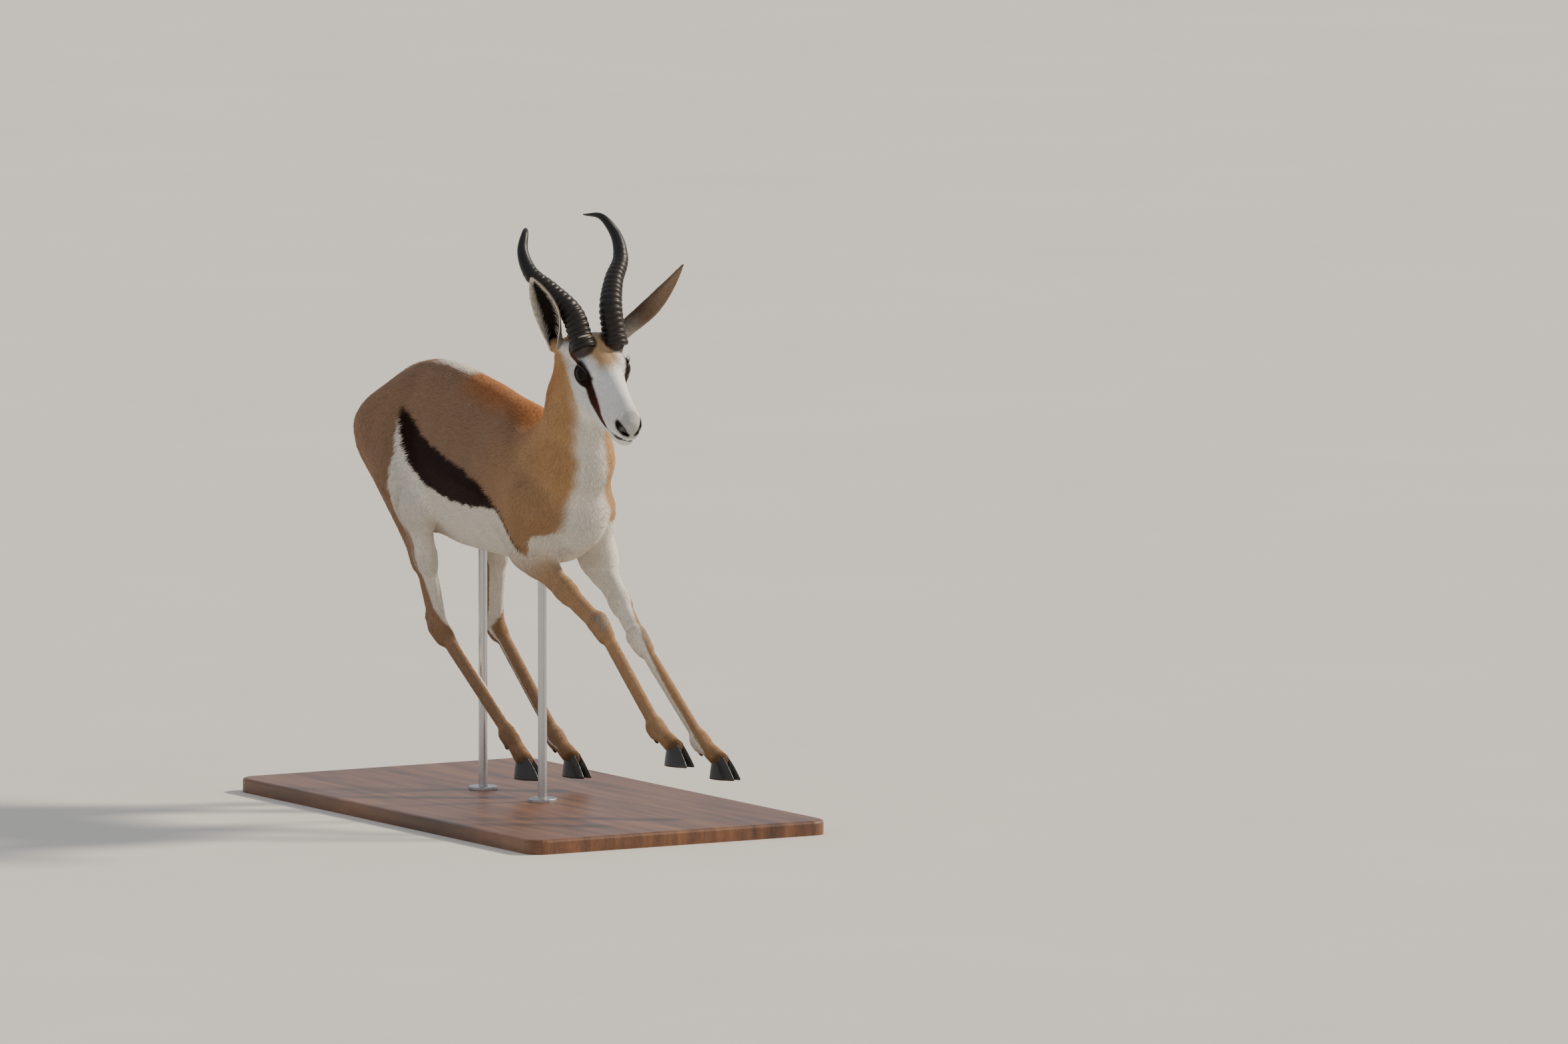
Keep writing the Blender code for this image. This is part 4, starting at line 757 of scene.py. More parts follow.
# %% The coat's colours
TAN = paint(156, 126, 103)
TAN_WARM = paint(190, 150, 108)
CINNAMON = paint(176, 114, 68)
CHOCOLATE = paint(34, 12, 5)
RUST = paint(84, 42, 24)
WHITE = paint(240, 234, 222)
FACE_WHITE = paint(243, 242, 238)
GOLD = paint(188, 150, 98)
GREY_NOSE = paint(150, 148, 142)
LEG_BROWN = paint(150, 116, 84)
CALLUS = paint(150, 146, 144)
BLACK = paint(22, 17, 15)

STRIPE_TOP = np.array([
    (-0.175, 0.712), (-0.163, 0.708), (-0.146, 0.697), (-0.101, 0.667), (-0.012, 0.646), (0.074, 0.632),
    (0.133, 0.618), (0.174, 0.592), (0.190, 0.582), (0.206, 0.563), (0.220, 0.541), (0.231, 0.519),
])
STRIPE_LOW = np.array([
    (-0.175, 0.700), (-0.165, 0.684), (-0.145, 0.644), (-0.121, 0.609), (-0.078, 0.580), (-0.007, 0.566),
    (0.086, 0.567), (0.171, 0.577), (0.188, 0.573), (0.204, 0.556), (0.218, 0.535), (0.229, 0.512),
    (0.242, 0.500), (0.252, 0.512), (0.264, 0.532), (0.277, 0.540), (0.335, 0.544), (0.420, 0.560),
])
HAUNCH_EDGE = np.array([
    (0.340, -0.100), (0.361, -0.112), (0.396, -0.128), (0.535, -0.152), (0.571, -0.160), (0.617, -0.156),
    (0.650, -0.161), (0.700, -0.170),
])
FACE_EDGE = np.array([
    (-0.150, 0.087), (-0.118, 0.080), (-0.088, 0.0705), (-0.0565, 0.040), (-0.028, 0.0174), (0.005, -0.004),
    (0.030, -0.012),
])
BROW_STRIPE = np.array([(0.026, 0.047, 0.006), (0.040, 0.047, -0.002), (0.056, 0.045, -0.0085)])
TEAR_STRIPE = np.array([
    (0.096, 0.034, -0.025), (0.112, 0.0335, -0.030), (0.130, 0.0345, -0.038), (0.150, 0.032, -0.047),
    (0.170, 0.030, -0.056), (0.186, 0.0295, -0.0605),
])
TEAR_HALF = (0.0090, 0.0105, 0.0115, 0.0105, 0.0075, 0.0040)


def read_off(table, x):
    """A table's second column at x, in straight steps."""
    return np.interp(x, table[:, 0], table[:, 1])


def wander(p, size, seed):
    """A slow variation from about -1 to 1: eight sine waves in seeded directions, added up."""
    rng = np.random.default_rng(seed)
    ways = unit(rng.normal(size=(8, 3))) * (2 * np.pi / size)
    return np.sin(p @ ways.T + rng.uniform(0, 2 * np.pi, 8)).sum(1) / 4


def nearness(p, line, halves):
    """1 on a line of points, 0.5 at its half width and 0 further out."""
    best = np.full(len(p), 9.0)
    for a, b, ra, rb in zip(line, line[1:], halves, halves[1:]):
        t = np.clip((p - a) @ (b - a) / ((b - a) @ (b - a)), 0, 1)
        r = np.linalg.norm(p - a - t[:, None] * (b - a), axis=1) / (ra + (rb - ra) * t)
        best = np.minimum(best, r)
    return 1 - share(best, 0.72, 1.28)


def trunk_paint(p):
    """Tan above and white below, parted by the dark flank stripe, with the white fold along the back."""
    q = in_trunk(p)
    x, y, z = q.T
    side = np.abs(y)
    edge = 0.0022 * wander(p, 0.021, 5)
    low = read_off(STRIPE_LOW, x) + edge
    low = np.where(x > 0.225, np.maximum(low, 0.540 * (1 - share(side, 0.040, 0.062))), low)
    top = read_off(STRIPE_TOP, x) + edge
    ahead = share(x - read_off(HAUNCH_EDGE, z) - edge, -0.003, 0.003)
    back = share(z, 0.62, 0.76)
    colour = mixed(TAN, TAN_WARM, 0.5 * share(x, 0.05, 0.28) * (1 - share(z, 0.66, 0.74)))
    # Painted sunlight: the back turns cinnamon, faintly all over as the coat's own warmth, and strongly on its left,
    # where the sun stands.
    colour = mixed(colour, CINNAMON, (0.06 + 0.60 * share(y, -0.01, 0.03)) * back)
    # Painted sunlight on the top: cinnamon along the front half of the spine.
    ridge = 1 - share(side, 0.018, 0.050)
    colour = mixed(colour, CINNAMON, 0.85 * ridge * share(x, -0.05, 0.02) * share(z, 0.64, 0.70))
    fold = between(y, -0.007, 0.014, 0.004) * between(x, -0.135, -0.020, 0.015)
    colour = mixed(colour, WHITE, 0.85 * fold * share(z, 0.68, 0.70))
    near_tail = 1 - share(np.hypot(side / 0.056, (z - 0.625) / 0.105), 0.92, 1.05)
    tail_rim = 1 - share(np.abs(np.hypot(side / 0.056, (z - 0.625) / 0.105) - 1.03), 0.04, 0.12)
    seat = share(-x, 0.325, 0.345)
    colour = mixed(colour, RUST, 0.55 * tail_rim * seat)
    colour = mixed(colour, WHITE, near_tail * seat)
    below = (1 - share(z - low, -0.003, 0.003)) * ahead
    inner = share(0.048 - side, -0.008, 0.008) * (1 - share(z, 0.535, 0.565)) * (1 - ahead)
    throat = throat_stripe(x, y, z, p) * share(x, 0.20, 0.22)
    colour = mixed(colour, WHITE, np.maximum(np.maximum(below, inner), throat))
    stripe = share(z - low, -0.003, 0.003) * (1 - share(z - top, -0.004, 0.004)) * share(x, -0.174, -0.160)
    stripe *= 1 - share(x, 0.232, 0.240)
    stripe_colour = mixed(CHOCOLATE, RUST, 0.75 * share(x, 0.165, 0.21))
    return mixed(colour, stripe_colour, stripe)


def throat_stripe(x, y, z, p):
    """The share of white in the stripe down the front of the neck, in trunk places."""
    front = share(x - np.interp(z, (0.55, 0.60, 0.75, 0.85), (0.268, 0.280, 0.340, 0.372)), -0.008, 0.012)
    half = np.interp(z, (0.54, 0.60, 0.68, 0.80), (0.046, 0.034, 0.026, 0.024)) + 0.002 * wander(p, 0.03, 6)
    return (1 - share(np.abs(y) - half, -0.009, 0.009)) * front


def neck_paint(p):
    """Warm tan with a white stripe down the throat, and cinnamon along the nape."""
    x, y, z = in_trunk(p).T
    stripe = throat_stripe(x, y, z, p)
    brisket = 1 - share(z - read_off(STRIPE_LOW, x), -0.004, 0.004)
    colour = mixed(TAN_WARM, CINNAMON, 0.45 * (1 - share(x - 0.9 * (z - 0.72), 0.235, 0.275)))
    return mixed(colour, WHITE, np.maximum(stripe, brisket * share(x, 0.235, 0.26)))


def head_paint(p):
    """A white face with a gold brow, the dark stripe from horn to mouth, and a grey nose."""
    h = in_head(p)
    x, side, z = h[:, 0], np.abs(h[:, 1]), h[:, 2]
    mirrored = np.stack([x, side, z], 1)
    colour = mixed(FACE_WHITE, TAN_WARM, 1 - share(x - read_off(FACE_EDGE, z) + 0.002 * wander(p, 0.02, 7), -0.004, 0.004))
    gold = 1 - share(np.hypot((x - 0.062) / 0.052, side / 0.028), 0.55, 1.20)
    colour = mixed(colour, GOLD, 0.9 * gold * share(z, -0.012, 0.0))
    crown = (1 - share(x, 0.000, 0.022)) * (1 - share(side, 0.030, 0.046)) * share(z, -0.03, -0.01)
    colour = mixed(colour, CHOCOLATE * 1.3, 0.85 * crown)
    horn_root = 1 - share(np.linalg.norm(mirrored - (HORN_BASE + (0, 0, -0.004)), axis=1), 0.0235, 0.030)
    colour = mixed(colour, CHOCOLATE * 1.4, 0.92 * horn_root)
    colour = mixed(colour, RUST, nearness(mirrored, BROW_STRIPE, (0.0065, 0.0062, 0.0080)))
    colour = mixed(colour, mixed(CHOCOLATE, RUST, 0.25 + share(x, 0.11, 0.16) * 0.6), nearness(mirrored, TEAR_STRIPE, TEAR_HALF))
    round_eye = 1 - share(eye_ratio(mirrored), 1.20, 1.60)
    colour = mixed(colour, CHOCOLATE * 0.8, round_eye)
    snout = share(x, 0.150, 0.200) * share(z, -0.055, -0.035)
    colour = mixed(colour, GREY_NOSE, 0.18 * snout)
    pad = share(x + 0.4 * z, 0.2060, 0.2110) * share(z, -0.0530, -0.0480)
    colour = mixed(colour, GREY_NOSE * 0.7, 0.6 * pad)
    # Black over each nostril: the nose's dark skin round it, and painted shade inside the opening.
    comma = np.array([(0.2300, 0.0065, -0.0415), (0.2265, 0.0165, -0.0345), (0.2145, 0.0265, -0.0240)])
    colour = mixed(colour, BLACK, nearness(mirrored, comma, (0.0052, 0.0086, 0.0072)))
    # Painted shade: a dark line where the lips meet, standing in for the groove that is finer than the skin's grid.
    lips = np.array([(0.178, 0.0310, -0.0605), (0.198, 0.0285, -0.0592), (0.211, 0.0245, -0.0580), (0.229, 0, -0.0558)])
    colour = mixed(colour, BLACK * 1.6, 0.9 * nearness(mirrored, lips, (0.0038, 0.0042, 0.0042, 0.0038)))
    # Painted shade: a dark line down the groove from the nose to the lip, which the skin itself does not cut.
    groove = np.array([(0.2325, 0, -0.040), (0.2300, 0, -0.0558)])
    return mixed(colour, BLACK * 2, 0.8 * nearness(mirrored, groove, (0.0016, 0.0016)))


def eye_ratio(mirrored):
    """How far out of the almond opening a place of the left side lies: 1 on the lids' edge."""
    axes = np.array(EYE_WAY)
    out = axes / np.linalg.norm(axes)
    slit = np.array([0.96, 0.0, -0.26])
    slit = unit(slit - out * (slit @ out))
    q = mirrored - np.array(EYE_PLACE)
    a, b = q @ slit / EYE_SLIT[0], q @ np.cross(slit, out) / EYE_SLIT[1]
    return np.where(q @ out > 0.002, np.hypot(a, b), 9.0)


LEG_TAN = {
    ("fore", "right"): [(0, -55, 122), (0.8, -65, 125), (1.0, -85, 140), (1.4, -80, 135), (2.0, -110, 150), (2.5, -180, 180)],
    ("fore", "left"): [(0, -50, 35), (0.5, -62, 50), (0.8, -70, 80), (1.0, -85, 100), (1.4, -80, 132), (2.1, -100, 140), (2.5, -170, 180)],
    ("hind", "right"): [(0, -175, 0), (0.5, -170, 18), (0.8, -165, 50), (1.0, -165, 120), (1.3, -160, 108), (2.1, -160, 112), (2.5, -180, 175)],
    ("hind", "left"): [(0, -190, 10), (0.8, -190, 20), (1.0, -190, 150), (1.3, -190, 160), (2.5, -190, 170)],
}


def round_leg(p, end, side):
    """How far down the joints, from 0 at elbow or stifle to 3, and the angle from outward to forward."""
    joints = JOINTS[end, side][1:]
    best, down, angle = np.full(len(p), 9.0), np.zeros(len(p)), np.zeros(len(p))
    for number, (a, b) in enumerate(zip(joints, joints[1:])):
        e1 = unit(b - a)
        e2 = unit(LEFTWARD - (LEFTWARD @ e1) * e1)
        q = p - a
        t = np.clip(q @ e1 / np.linalg.norm(b - a), 0, 1)
        far = np.linalg.norm(q - t[:, None] * (b - a), axis=1)
        turned = np.degrees(np.arctan2(q @ np.cross(e1, e2), SIDES[side] * (q @ e2)))
        closer = far < best
        best, down = np.where(closer, far, best), np.where(closer, number + t, down)
        angle = np.where(closer, turned, angle)
    return down, angle


def leg_paint(p, end, side):
    """Tan down the outer and front faces and white behind and within, darkening to the hoof."""
    down, angle = round_leg(p, end, side)
    table = np.array(LEG_TAN[end, side])
    low, high = (np.interp(down, table[:, 0], table[:, i]) for i in (1, 2))
    soft = 7 + 4 * wander(p, 0.02, 8)
    turned = np.where(angle < low - 90, angle + 360, angle)
    tan = share(turned - low, -soft, soft) * (1 - share(turned - high, -soft, soft))
    tan = np.maximum(tan, share(down, 2.3, 2.6))
    colour = mixed(TAN + (TAN_WARM - TAN) * (0.5 if end == "fore" else 0.1), LEG_BROWN, 0.3 * share(down, 0.9, 2.2) + 0.5 * share(down, 2.1, 2.9))
    if end == "hind":
        hock_patch = (1 - share(np.abs(down - 1.02), 0.04, 0.12)) * (1 - share(np.abs(angle - 60), 45, 80))
        colour, tan = mixed(colour, LEG_BROWN, 0.6 * hock_patch), np.maximum(tan, 0.9 * hock_patch)
    else:
        knee = (1 - share(np.abs(down - 0.98), 0.03, 0.10)) * (1 - share(np.abs(angle - 90), 30, 70))
        colour = mixed(colour, CALLUS, 0.75 * knee * share(wander(p, 0.012, 9), -0.5, 0.3))
    cuff = share(down, 2.75, 2.95)
    colour = mixed(mixed(WHITE, colour, tan), LEG_BROWN * 0.35, cuff * 0.8)
    return colour * (1 + 0.10 * wander(p, 0.015, 10) * share(down, 1.8, 2.4))[:, None]


# %% [markdown]
# Each place on the skin asks every form how near it is. The nearest ones decide together which way the
# hair lies there and whose colour rules count, and the answer is stored with the skin.


# %% Combing and colouring
PARTS = ["head", "neck", "torso", "rump", "fore_right", "fore_left", "hind_right", "hind_left"]
NEAR = 0.008


def nearest_parts(p):
    """Sums of exp(-value / 8 mm) over the forms: one column for each part, and the hair's direction."""
    members, lie = np.zeros((len(p), len(PARTS))), np.zeros((len(p), 3))
    for low, high, _, _, field, way, part in FORMS[:SOLID_FORMS]:
        near = np.flatnonzero(((p > low) & (p < high)).all(1))
        weight = np.exp(-np.clip(field(p[near]), -0.03, 0.2) / NEAR)
        members[near, part] += weight
        lie[near] += weight[:, None] * way
    return members / np.maximum(members.sum(1, keepdims=True), 1e-12), lie


def coat_paint(p, members):
    """The parts' own colours, mixed by how near each part is, with a slight variation from place to place."""
    rules = [head_paint, neck_paint, trunk_paint, trunk_paint]
    rules += [lambda q, e=end, s=side: leg_paint(q, e, s) for end in ("fore", "hind") for side in SIDES]
    colour = np.zeros((len(p), 3))
    for column, rule in enumerate(rules):
        mine = np.flatnonzero(members[:, column] > 0.004)
        colour[mine] += rule(p[mine]) * members[mine, column, None]
    return colour * (1 + 0.035 * wander(p, 0.06, 3) + 0.03 * wander(p, 0.013, 4))[:, None]


def mesh_arrays(mesh):
    """Points, their normals and the triangles of a mesh."""
    mesh.calc_loop_triangles()
    points, normals = np.empty(len(mesh.vertices) * 3, np.float32), np.empty(len(mesh.vertices) * 3, np.float32)
    mesh.vertices.foreach_get("co", points)
    mesh.vertices.foreach_get("normal", normals)
    triangles = np.empty(len(mesh.loop_triangles) * 3, np.int32)
    mesh.loop_triangles.foreach_get("vertices", triangles)
    return points.reshape(-1, 3).astype(float), normals.reshape(-1, 3).astype(float), triangles.reshape(-1, 3)


SKIN_POINTS, SKIN_NORMALS, SKIN_TRIS = mesh_arrays(skin.data)
members, lies = nearest_parts(SKIN_POINTS)
lies = unit(lies - SKIN_NORMALS * (lies * SKIN_NORMALS).sum(1, keepdims=True))
set_colours(skin.data, coat_paint(SKIN_POINTS, members))
print("coloured", len(SKIN_POINTS), "points of the skin")

# %% [markdown]
# Short hair doesn't need a strand for every hair. A coat this close reads as overlapping small locks, so
# each tuft is one closed sliver with a ridge: wide at its root, which is sunk under the skin, and drawn
# to a point that stands off a little. Thousands of them, sown by area and combed the way the skin says,
# give the fur its grain, its soft edge and its broken outline.


# %% Tufts
def sown(points, triangles, density, seed):
    """Roots by area: each triangle gets area x density of them, the last one by chance."""
    rng = np.random.default_rng(seed)
    a, b, c = (points[triangles[:, i]] for i in range(3))
    area = np.linalg.norm(np.cross(b - a, c - a), axis=1) / 2
    wanted = area * density[triangles].mean(1)
    count = np.floor(wanted + rng.random(len(wanted))).astype(int)
    chosen = np.repeat(np.arange(len(triangles)), count)
    u, v = rng.random(len(chosen)), rng.random(len(chosen))
    flip = u + v > 1
    u, v = np.where(flip, 1 - u, u), np.where(flip, 1 - v, v)
    return triangles[chosen], np.stack([1 - u - v, u, v], 1)


def taken(values, corners, weights):
    """A value of the surface's points, read between each triangle's three corners."""
    picked = values[corners]
    if picked.ndim == 2:
        return (picked * weights).sum(1)
    return (picked * weights[:, :, None]).sum(1)


TUFT_FACES = np.array([(0, 2, 1), (0, 3, 2), (2, 3, 1), (1, 3, 0)])
SUNK = 0.0005
LEAN_SPREAD = 0.16
PATCH = 0.0015


def tufts(name, roots, normals, lies, lengths, widths, lifts, colours, places, seed):
    """Four points to a tuft: left, right and ridge round the root, and the tip along the lie."""
    rng = np.random.default_rng(seed)
    count = len(roots)
    lies = unit(lies + np.cross(normals, lies) * rng.normal(0, LEAN_SPREAD, (count, 1)))
    across = unit(np.cross(normals, lies))
    long = (lengths * rng.uniform(0.75, 1.2, count))[:, None]
    half = (widths * rng.uniform(0.8, 1.2, count))[:, None] / 2
    lift = (lifts * rng.uniform(0.55, 1.15, count))[:, None]
    rows = np.stack([
        roots - across * half - normals * SUNK,
        roots + across * half - normals * SUNK,
        roots + lies * long * 0.30 + normals * lift * 0.62,
        roots + lies * long + normals * lift,
    ], 1)
    seen = np.stack([
        unit(normals - across * 0.55), unit(normals + across * 0.55), normals, unit(normals + lies * 0.15),
    ], 1)
    # Each tuft differs a little at random; its root corners are painted darker as shade under the overlapping coat, and
    # its tip painted a little lighter as light on the hair's end.
    shade = rng.uniform(0.93, 1.07, (count, 1, 1)) * np.array([0.88, 0.88, 1.0, 1.05])[None, :, None]
    offsets = np.array([(-1, -1), (1, -1), (0, 0), (0, 1)]) * PATCH
    faces = (TUFT_FACES + 4 * np.arange(count)[:, None, None]).reshape(-1, 3)
    made = mesh_object(
        name, rows.reshape(-1, 3), faces, (colours[:, None] * shade).reshape(-1, 3),
        np.clip(places[:, None] + offsets, 0, 1).reshape(-1, 2), seen.reshape(-1, 3),
    )
    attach(made, "root")
    made.data.materials.append(FUR)
    print(name, count, "tufts,", len(faces), "triangles")
    return made


# %% [markdown]
# Fur is not one flat colour under the brush: single hairs differ, light catches their tips, and the coat
# has a fine grain. The material takes the markings from the stored colour, varies them at the scale of
# single hairs, and adds a soft sheen with a fine bump.


# %% Materials
def new_material(name, roughness, **numbers):
    """A material with its plain numbers on the shader's own sockets."""
    made = bpy.data.materials.new(name)
    made.use_nodes = True
    shader = made.node_tree.nodes["Principled BSDF"]
    shader.inputs["Roughness"].default_value = roughness
    for socket, value in numbers.items():
        shader.inputs[socket.replace("_", " ")].default_value = value
    return made


def node(made, kind, **values):
    """A new node of a material, with its plain values set by socket name."""
    new = made.node_tree.nodes.new("ShaderNode" + kind)
    for socket, value in values.items():
        new.inputs[socket].default_value = value
    return new


def joined(made, *pairs):
    """Links output to input for each pair."""
    for output, target in pairs:
        made.node_tree.links.new(output, target)


def grain(made, scale, stretch=(1, 1, 1), detail=3.0):
    """Noise on the object's own coordinates, pulled out along an axis where its scale is low."""
    place = node(made, "TexCoord")
    mapping = node(made, "Mapping", Scale=stretch)
    noise = node(made, "TexNoise", Scale=scale, Detail=detail, Roughness=0.6)
    joined(made, (place.outputs["Object"], mapping.inputs["Vector"]), (mapping.outputs[0], noise.inputs["Vector"]))
    return noise.outputs["Fac"]


def bumped(made, height, strength, distance):
    """Feeds a height to the shader's normal."""
    bump = node(made, "Bump", Strength=strength, Distance=distance)
    joined(made, (height, bump.inputs["Height"]), (bump.outputs[0], made.node_tree.nodes["Principled BSDF"].inputs["Normal"]))


def ranged(made, value, low, high):
    """The value from 0.3 to 0.7 spread over low to high."""
    spread = node(made, "MapRange")
    for socket, number in zip(("From Min", "From Max", "To Min", "To Max"), (0.3, 0.7, low, high)):
        spread.inputs[socket].default_value = number
    joined(made, (value, spread.inputs["Value"]))
    return spread.outputs[0]


def attribute_paint(made, scale, low, high, name="coat"):
    """Base colour: the stored colour times fine noise."""
    stored = node(made, "Attribute")
    stored.attribute_name = name
    times = node(made, "VectorMath")
    times.operation = "SCALE"
    strength = ranged(made, grain(made, scale), low, high)
    shader = made.node_tree.nodes["Principled BSDF"]
    joined(
        made, (stored.outputs["Color"], times.inputs[0]), (strength, times.inputs["Scale"]),
        (times.outputs[0], shader.inputs["Base Color"]),
    )


FUR = new_material("fur", 0.74, Specular_IOR_Level=0.13, Sheen_Weight=0.05, Sheen_Roughness=0.5)
attribute_paint(FUR, 420, 0.80, 1.14)
bumped(FUR, grain(FUR, 900), 0.25, 0.0006)
SKIN = new_material("short_fur", 0.82, Specular_IOR_Level=0.10, Sheen_Weight=0.03)
attribute_paint(SKIN, 500, 0.80, 1.05)
bumped(SKIN, grain(SKIN, 700), 0.5, 0.0009)
skin.data.materials.append(SKIN)

FLESH_NODES = ["torso", "hindquarters", "neck", "head"]
for side in SIDES:
    for end in ("foreleg", "hindleg"):
        FLESH_NODES += [f"{end}_{side}_{stretch}" for stretch in ("upper", "cannon", "pastern")]
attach(skin, "root")
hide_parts(*FLESH_NODES)

# %% [markdown]
# Now the coat is sown. Hair is longest along the back's fold, under the breast and behind the thighs,
# short on the legs and shortest on the face. Nothing grows on the nose, inside the lids, or where a horn
# is rooted.

# %% Sow the coat
SIZES = {
    "head": (0.0065, 0.0011, 0.0009, 520000), "neck": (0.0125, 0.0016, 0.0020, 250000),
    "torso": (0.0130, 0.0017, 0.0022, 235000), "rump": (0.0130, 0.0017, 0.0022, 235000),
    "fore": (0.0072, 0.0012, 0.0010, 330000), "hind": (0.0075, 0.0012, 0.0010, 330000),
}


def hair_sizes(p, members):
    """Length, width, lift and number per square metre: the parts' own, changed where hair differs."""
    table = np.array([SIZES[part.split("_")[0]] for part in PARTS])
    long, wide, lift, dense = (members @ table).T
    x, y, z = in_trunk(p).T
    h = in_head(p)
    mirrored = np.stack([h[:, 0], np.abs(h[:, 1]), h[:, 2]], 1)
    body = members[:, 2] + members[:, 3]
    fold = (1 - share(np.abs(y), 0.010, 0.022)) * between(x, -0.30, 0.00, 0.03) * share(z, 0.66, 0.70) * body
    brisket = between(x, 0.20, 0.34, 0.03) * (1 - share(z, 0.49, 0.53)) * (1 - share(np.abs(y), 0.03, 0.06)) * body
    thigh = share(-x, 0.31, 0.35) * body
    long = long * (1 + 0.55 * fold + 0.45 * brisket + 0.25 * thigh)
    lift = lift * (1 + 1.3 * fold + 0.8 * brisket)
    snout = share(h[:, 0], 0.10, 0.20) * members[:, 0]
    round_eye = (1 - share(eye_ratio(mirrored), 1.2, 2.2)) * members[:, 0]
    small = 1 - 0.50 * np.maximum(snout, round_eye)
    return long * small, wide * (1 - 0.25 * snout), lift * small, dense * (1 + 0.5 * snout)


def bare(p, members):
    """True where no hair grows: the lids' inside, the nose pad and nostrils, and under horns."""
    h = in_head(p)
    mirrored = np.stack([h[:, 0], np.abs(h[:, 1]), h[:, 2]], 1)
    comma = np.array([(0.2300, 0.0065, -0.0415), (0.2265, 0.0165, -0.0345), (0.2145, 0.0265, -0.0240)])
    no_hair = eye_ratio(mirrored) < 1.10
    no_hair |= (h[:, 0] + 0.4 * h[:, 2] > 0.2085) & (h[:, 2] > -0.052)
    no_hair |= nearness(mirrored, comma, (0.0050, 0.0080, 0.0060)) > 0.4
    no_hair |= np.linalg.norm(mirrored - (HORN_BASE + (-0.003, 0, 0.006)), axis=1) < 0.0205
    return no_hair & (members[:, 0] > 0.3)


def strip(angle, length, half=0, halves=1):
    """A place on the unwrapped shape: round it across the map, along it up the map, in one of its halves."""
    across = (half + 0.01 + 0.98 * np.clip(angle, 0, 1)) / halves
    return np.stack([across, 0.01 + 0.98 * np.clip(length, 0, 1)], 1)


def unwrapped(p, part):
    """Round and along: the trunk about its own length, the head about its own, and each leg about its bones."""
    if part == "head":
        h = in_head(p)
        return strip(np.arctan2(h[:, 1], h[:, 2] + 0.05) / (2 * np.pi) + 0.5, (h[:, 0] + 0.04) / 0.28)
    if part == "neck":
        q = p - PLACE - (0.33, -0.012, 0.72)
        return strip(np.arctan2(q[:, 1], q[:, 0]) / (2 * np.pi) + 0.5, (q[:, 2] + 0.20) / 0.36)
    if part in ("torso", "rump"):
        x, y, z = in_trunk(p).T
        low, high = (-0.10, 0.42) if part == "torso" else (-0.46, 0.02)
        return strip(np.arctan2(np.abs(y), z - 0.60) / np.pi, (x - low) / (high - low))
    end, side = part.split("_")
    down, angle = round_leg(p, end, side)
    return strip(angle / 360 + 0.5, down / 3, int(side == "left"), 2)


def coat(name, chosen, parts, seed):
    """The tufts of one named piece: sown where its parts are nearest, on the chosen side."""
    owner = members.argmax(1)
    wanted = np.isin(owner, [PARTS.index(part) for part in parts]) & chosen
    long, wide, lift, dense = hair_sizes(SKIN_POINTS, members)
    mine = SKIN_TRIS[wanted[SKIN_TRIS].sum(1) >= 2]
    corners, weights = sown(SKIN_POINTS, mine, dense, seed)
    roots, shares = taken(SKIN_POINTS, corners, weights), taken(members, corners, weights)
    keep = ~bare(roots, shares)
    corners, weights, roots, shares = corners[keep], weights[keep], roots[keep], shares[keep]
    normals, combed = unit(taken(SKIN_NORMALS, corners, weights)), taken(lies, corners, weights)
    combed = unit(combed - normals * (combed * normals).sum(1, keepdims=True))
    places = np.zeros((len(roots), 2))
    nearest = shares.argmax(1)
    for part in parts:
        own = nearest == PARTS.index(part)
        places[own] = unwrapped(roots[own], part)
    sizes = [taken(value, corners, weights) for value in (long, wide, lift)]
    return tufts(name, roots, normals, combed, *sizes, coat_paint(roots, shares), places, seed)


in_left = in_trunk(SKIN_POINTS)[:, 1] > 0
everywhere = np.ones(len(in_left), bool)
coat("coat_head", everywhere, ["head"], 11)
coat("coat_neck", everywhere, ["neck"], 12)
for number, (side, chosen) in enumerate((("left", in_left), ("right", ~in_left))):
    coat(f"coat_torso_{side}", chosen, ["torso"], 20 + number)
    coat(f"coat_rump_{side}", chosen, ["rump"], 30 + number)
coat("coat_forelegs", everywhere, ["fore_right", "fore_left"], 41)
coat("coat_hindlegs", everywhere, ["hind_right", "hind_left"], 42)

# %% [markdown]
# A horn grows in rings. Each ring is a ridge that stands out most on the front and runs a little askew,
# and the rings crowd towards the root and fade into a smooth, polished, hooked tip.

# %% Horns
HORN_PATH = [
    (0.0, 0.0, 0.0), (-0.038, 0.002, 0.035), (-0.091, 0.024, 0.054), (-0.141, 0.054, 0.065),
    (-0.184, 0.058, 0.082), (-0.216, 0.042, 0.098), (-0.251, 0.022, 0.080),
]
HORN_RADII = [0.0218, 0.0202, 0.0168, 0.0134, 0.0098, 0.0060, 0.0012]
HORN_SHIFT = {
    "right": [
        (0, 0, 0), (-0.003, 0.002, -0.007), (-0.007, 0.002, -0.012), (-0.006, -0.004, -0.012),
        (-0.003, -0.006, -0.011), (-0.002, -0.004, -0.013), (0, 0, -0.013),
    ],
    "left": [(0, 0, 0.0006 * i) for i in range(7)],
}
HORN_SUNK = 0.012
HORN_FLARE = 0.0232
HORN_RINGS = 20
RINGED_SHARE = 0.66
RING_DEPTH = 0.10
RING_TONE = paint(38, 29, 23)
# Painted shade: the grooves between the horn's rings are coloured darker than the ridges.
GROOVE_PAINTED_SHADE = paint(15, 11, 10)
TIP_TONE = paint(20, 18, 20)


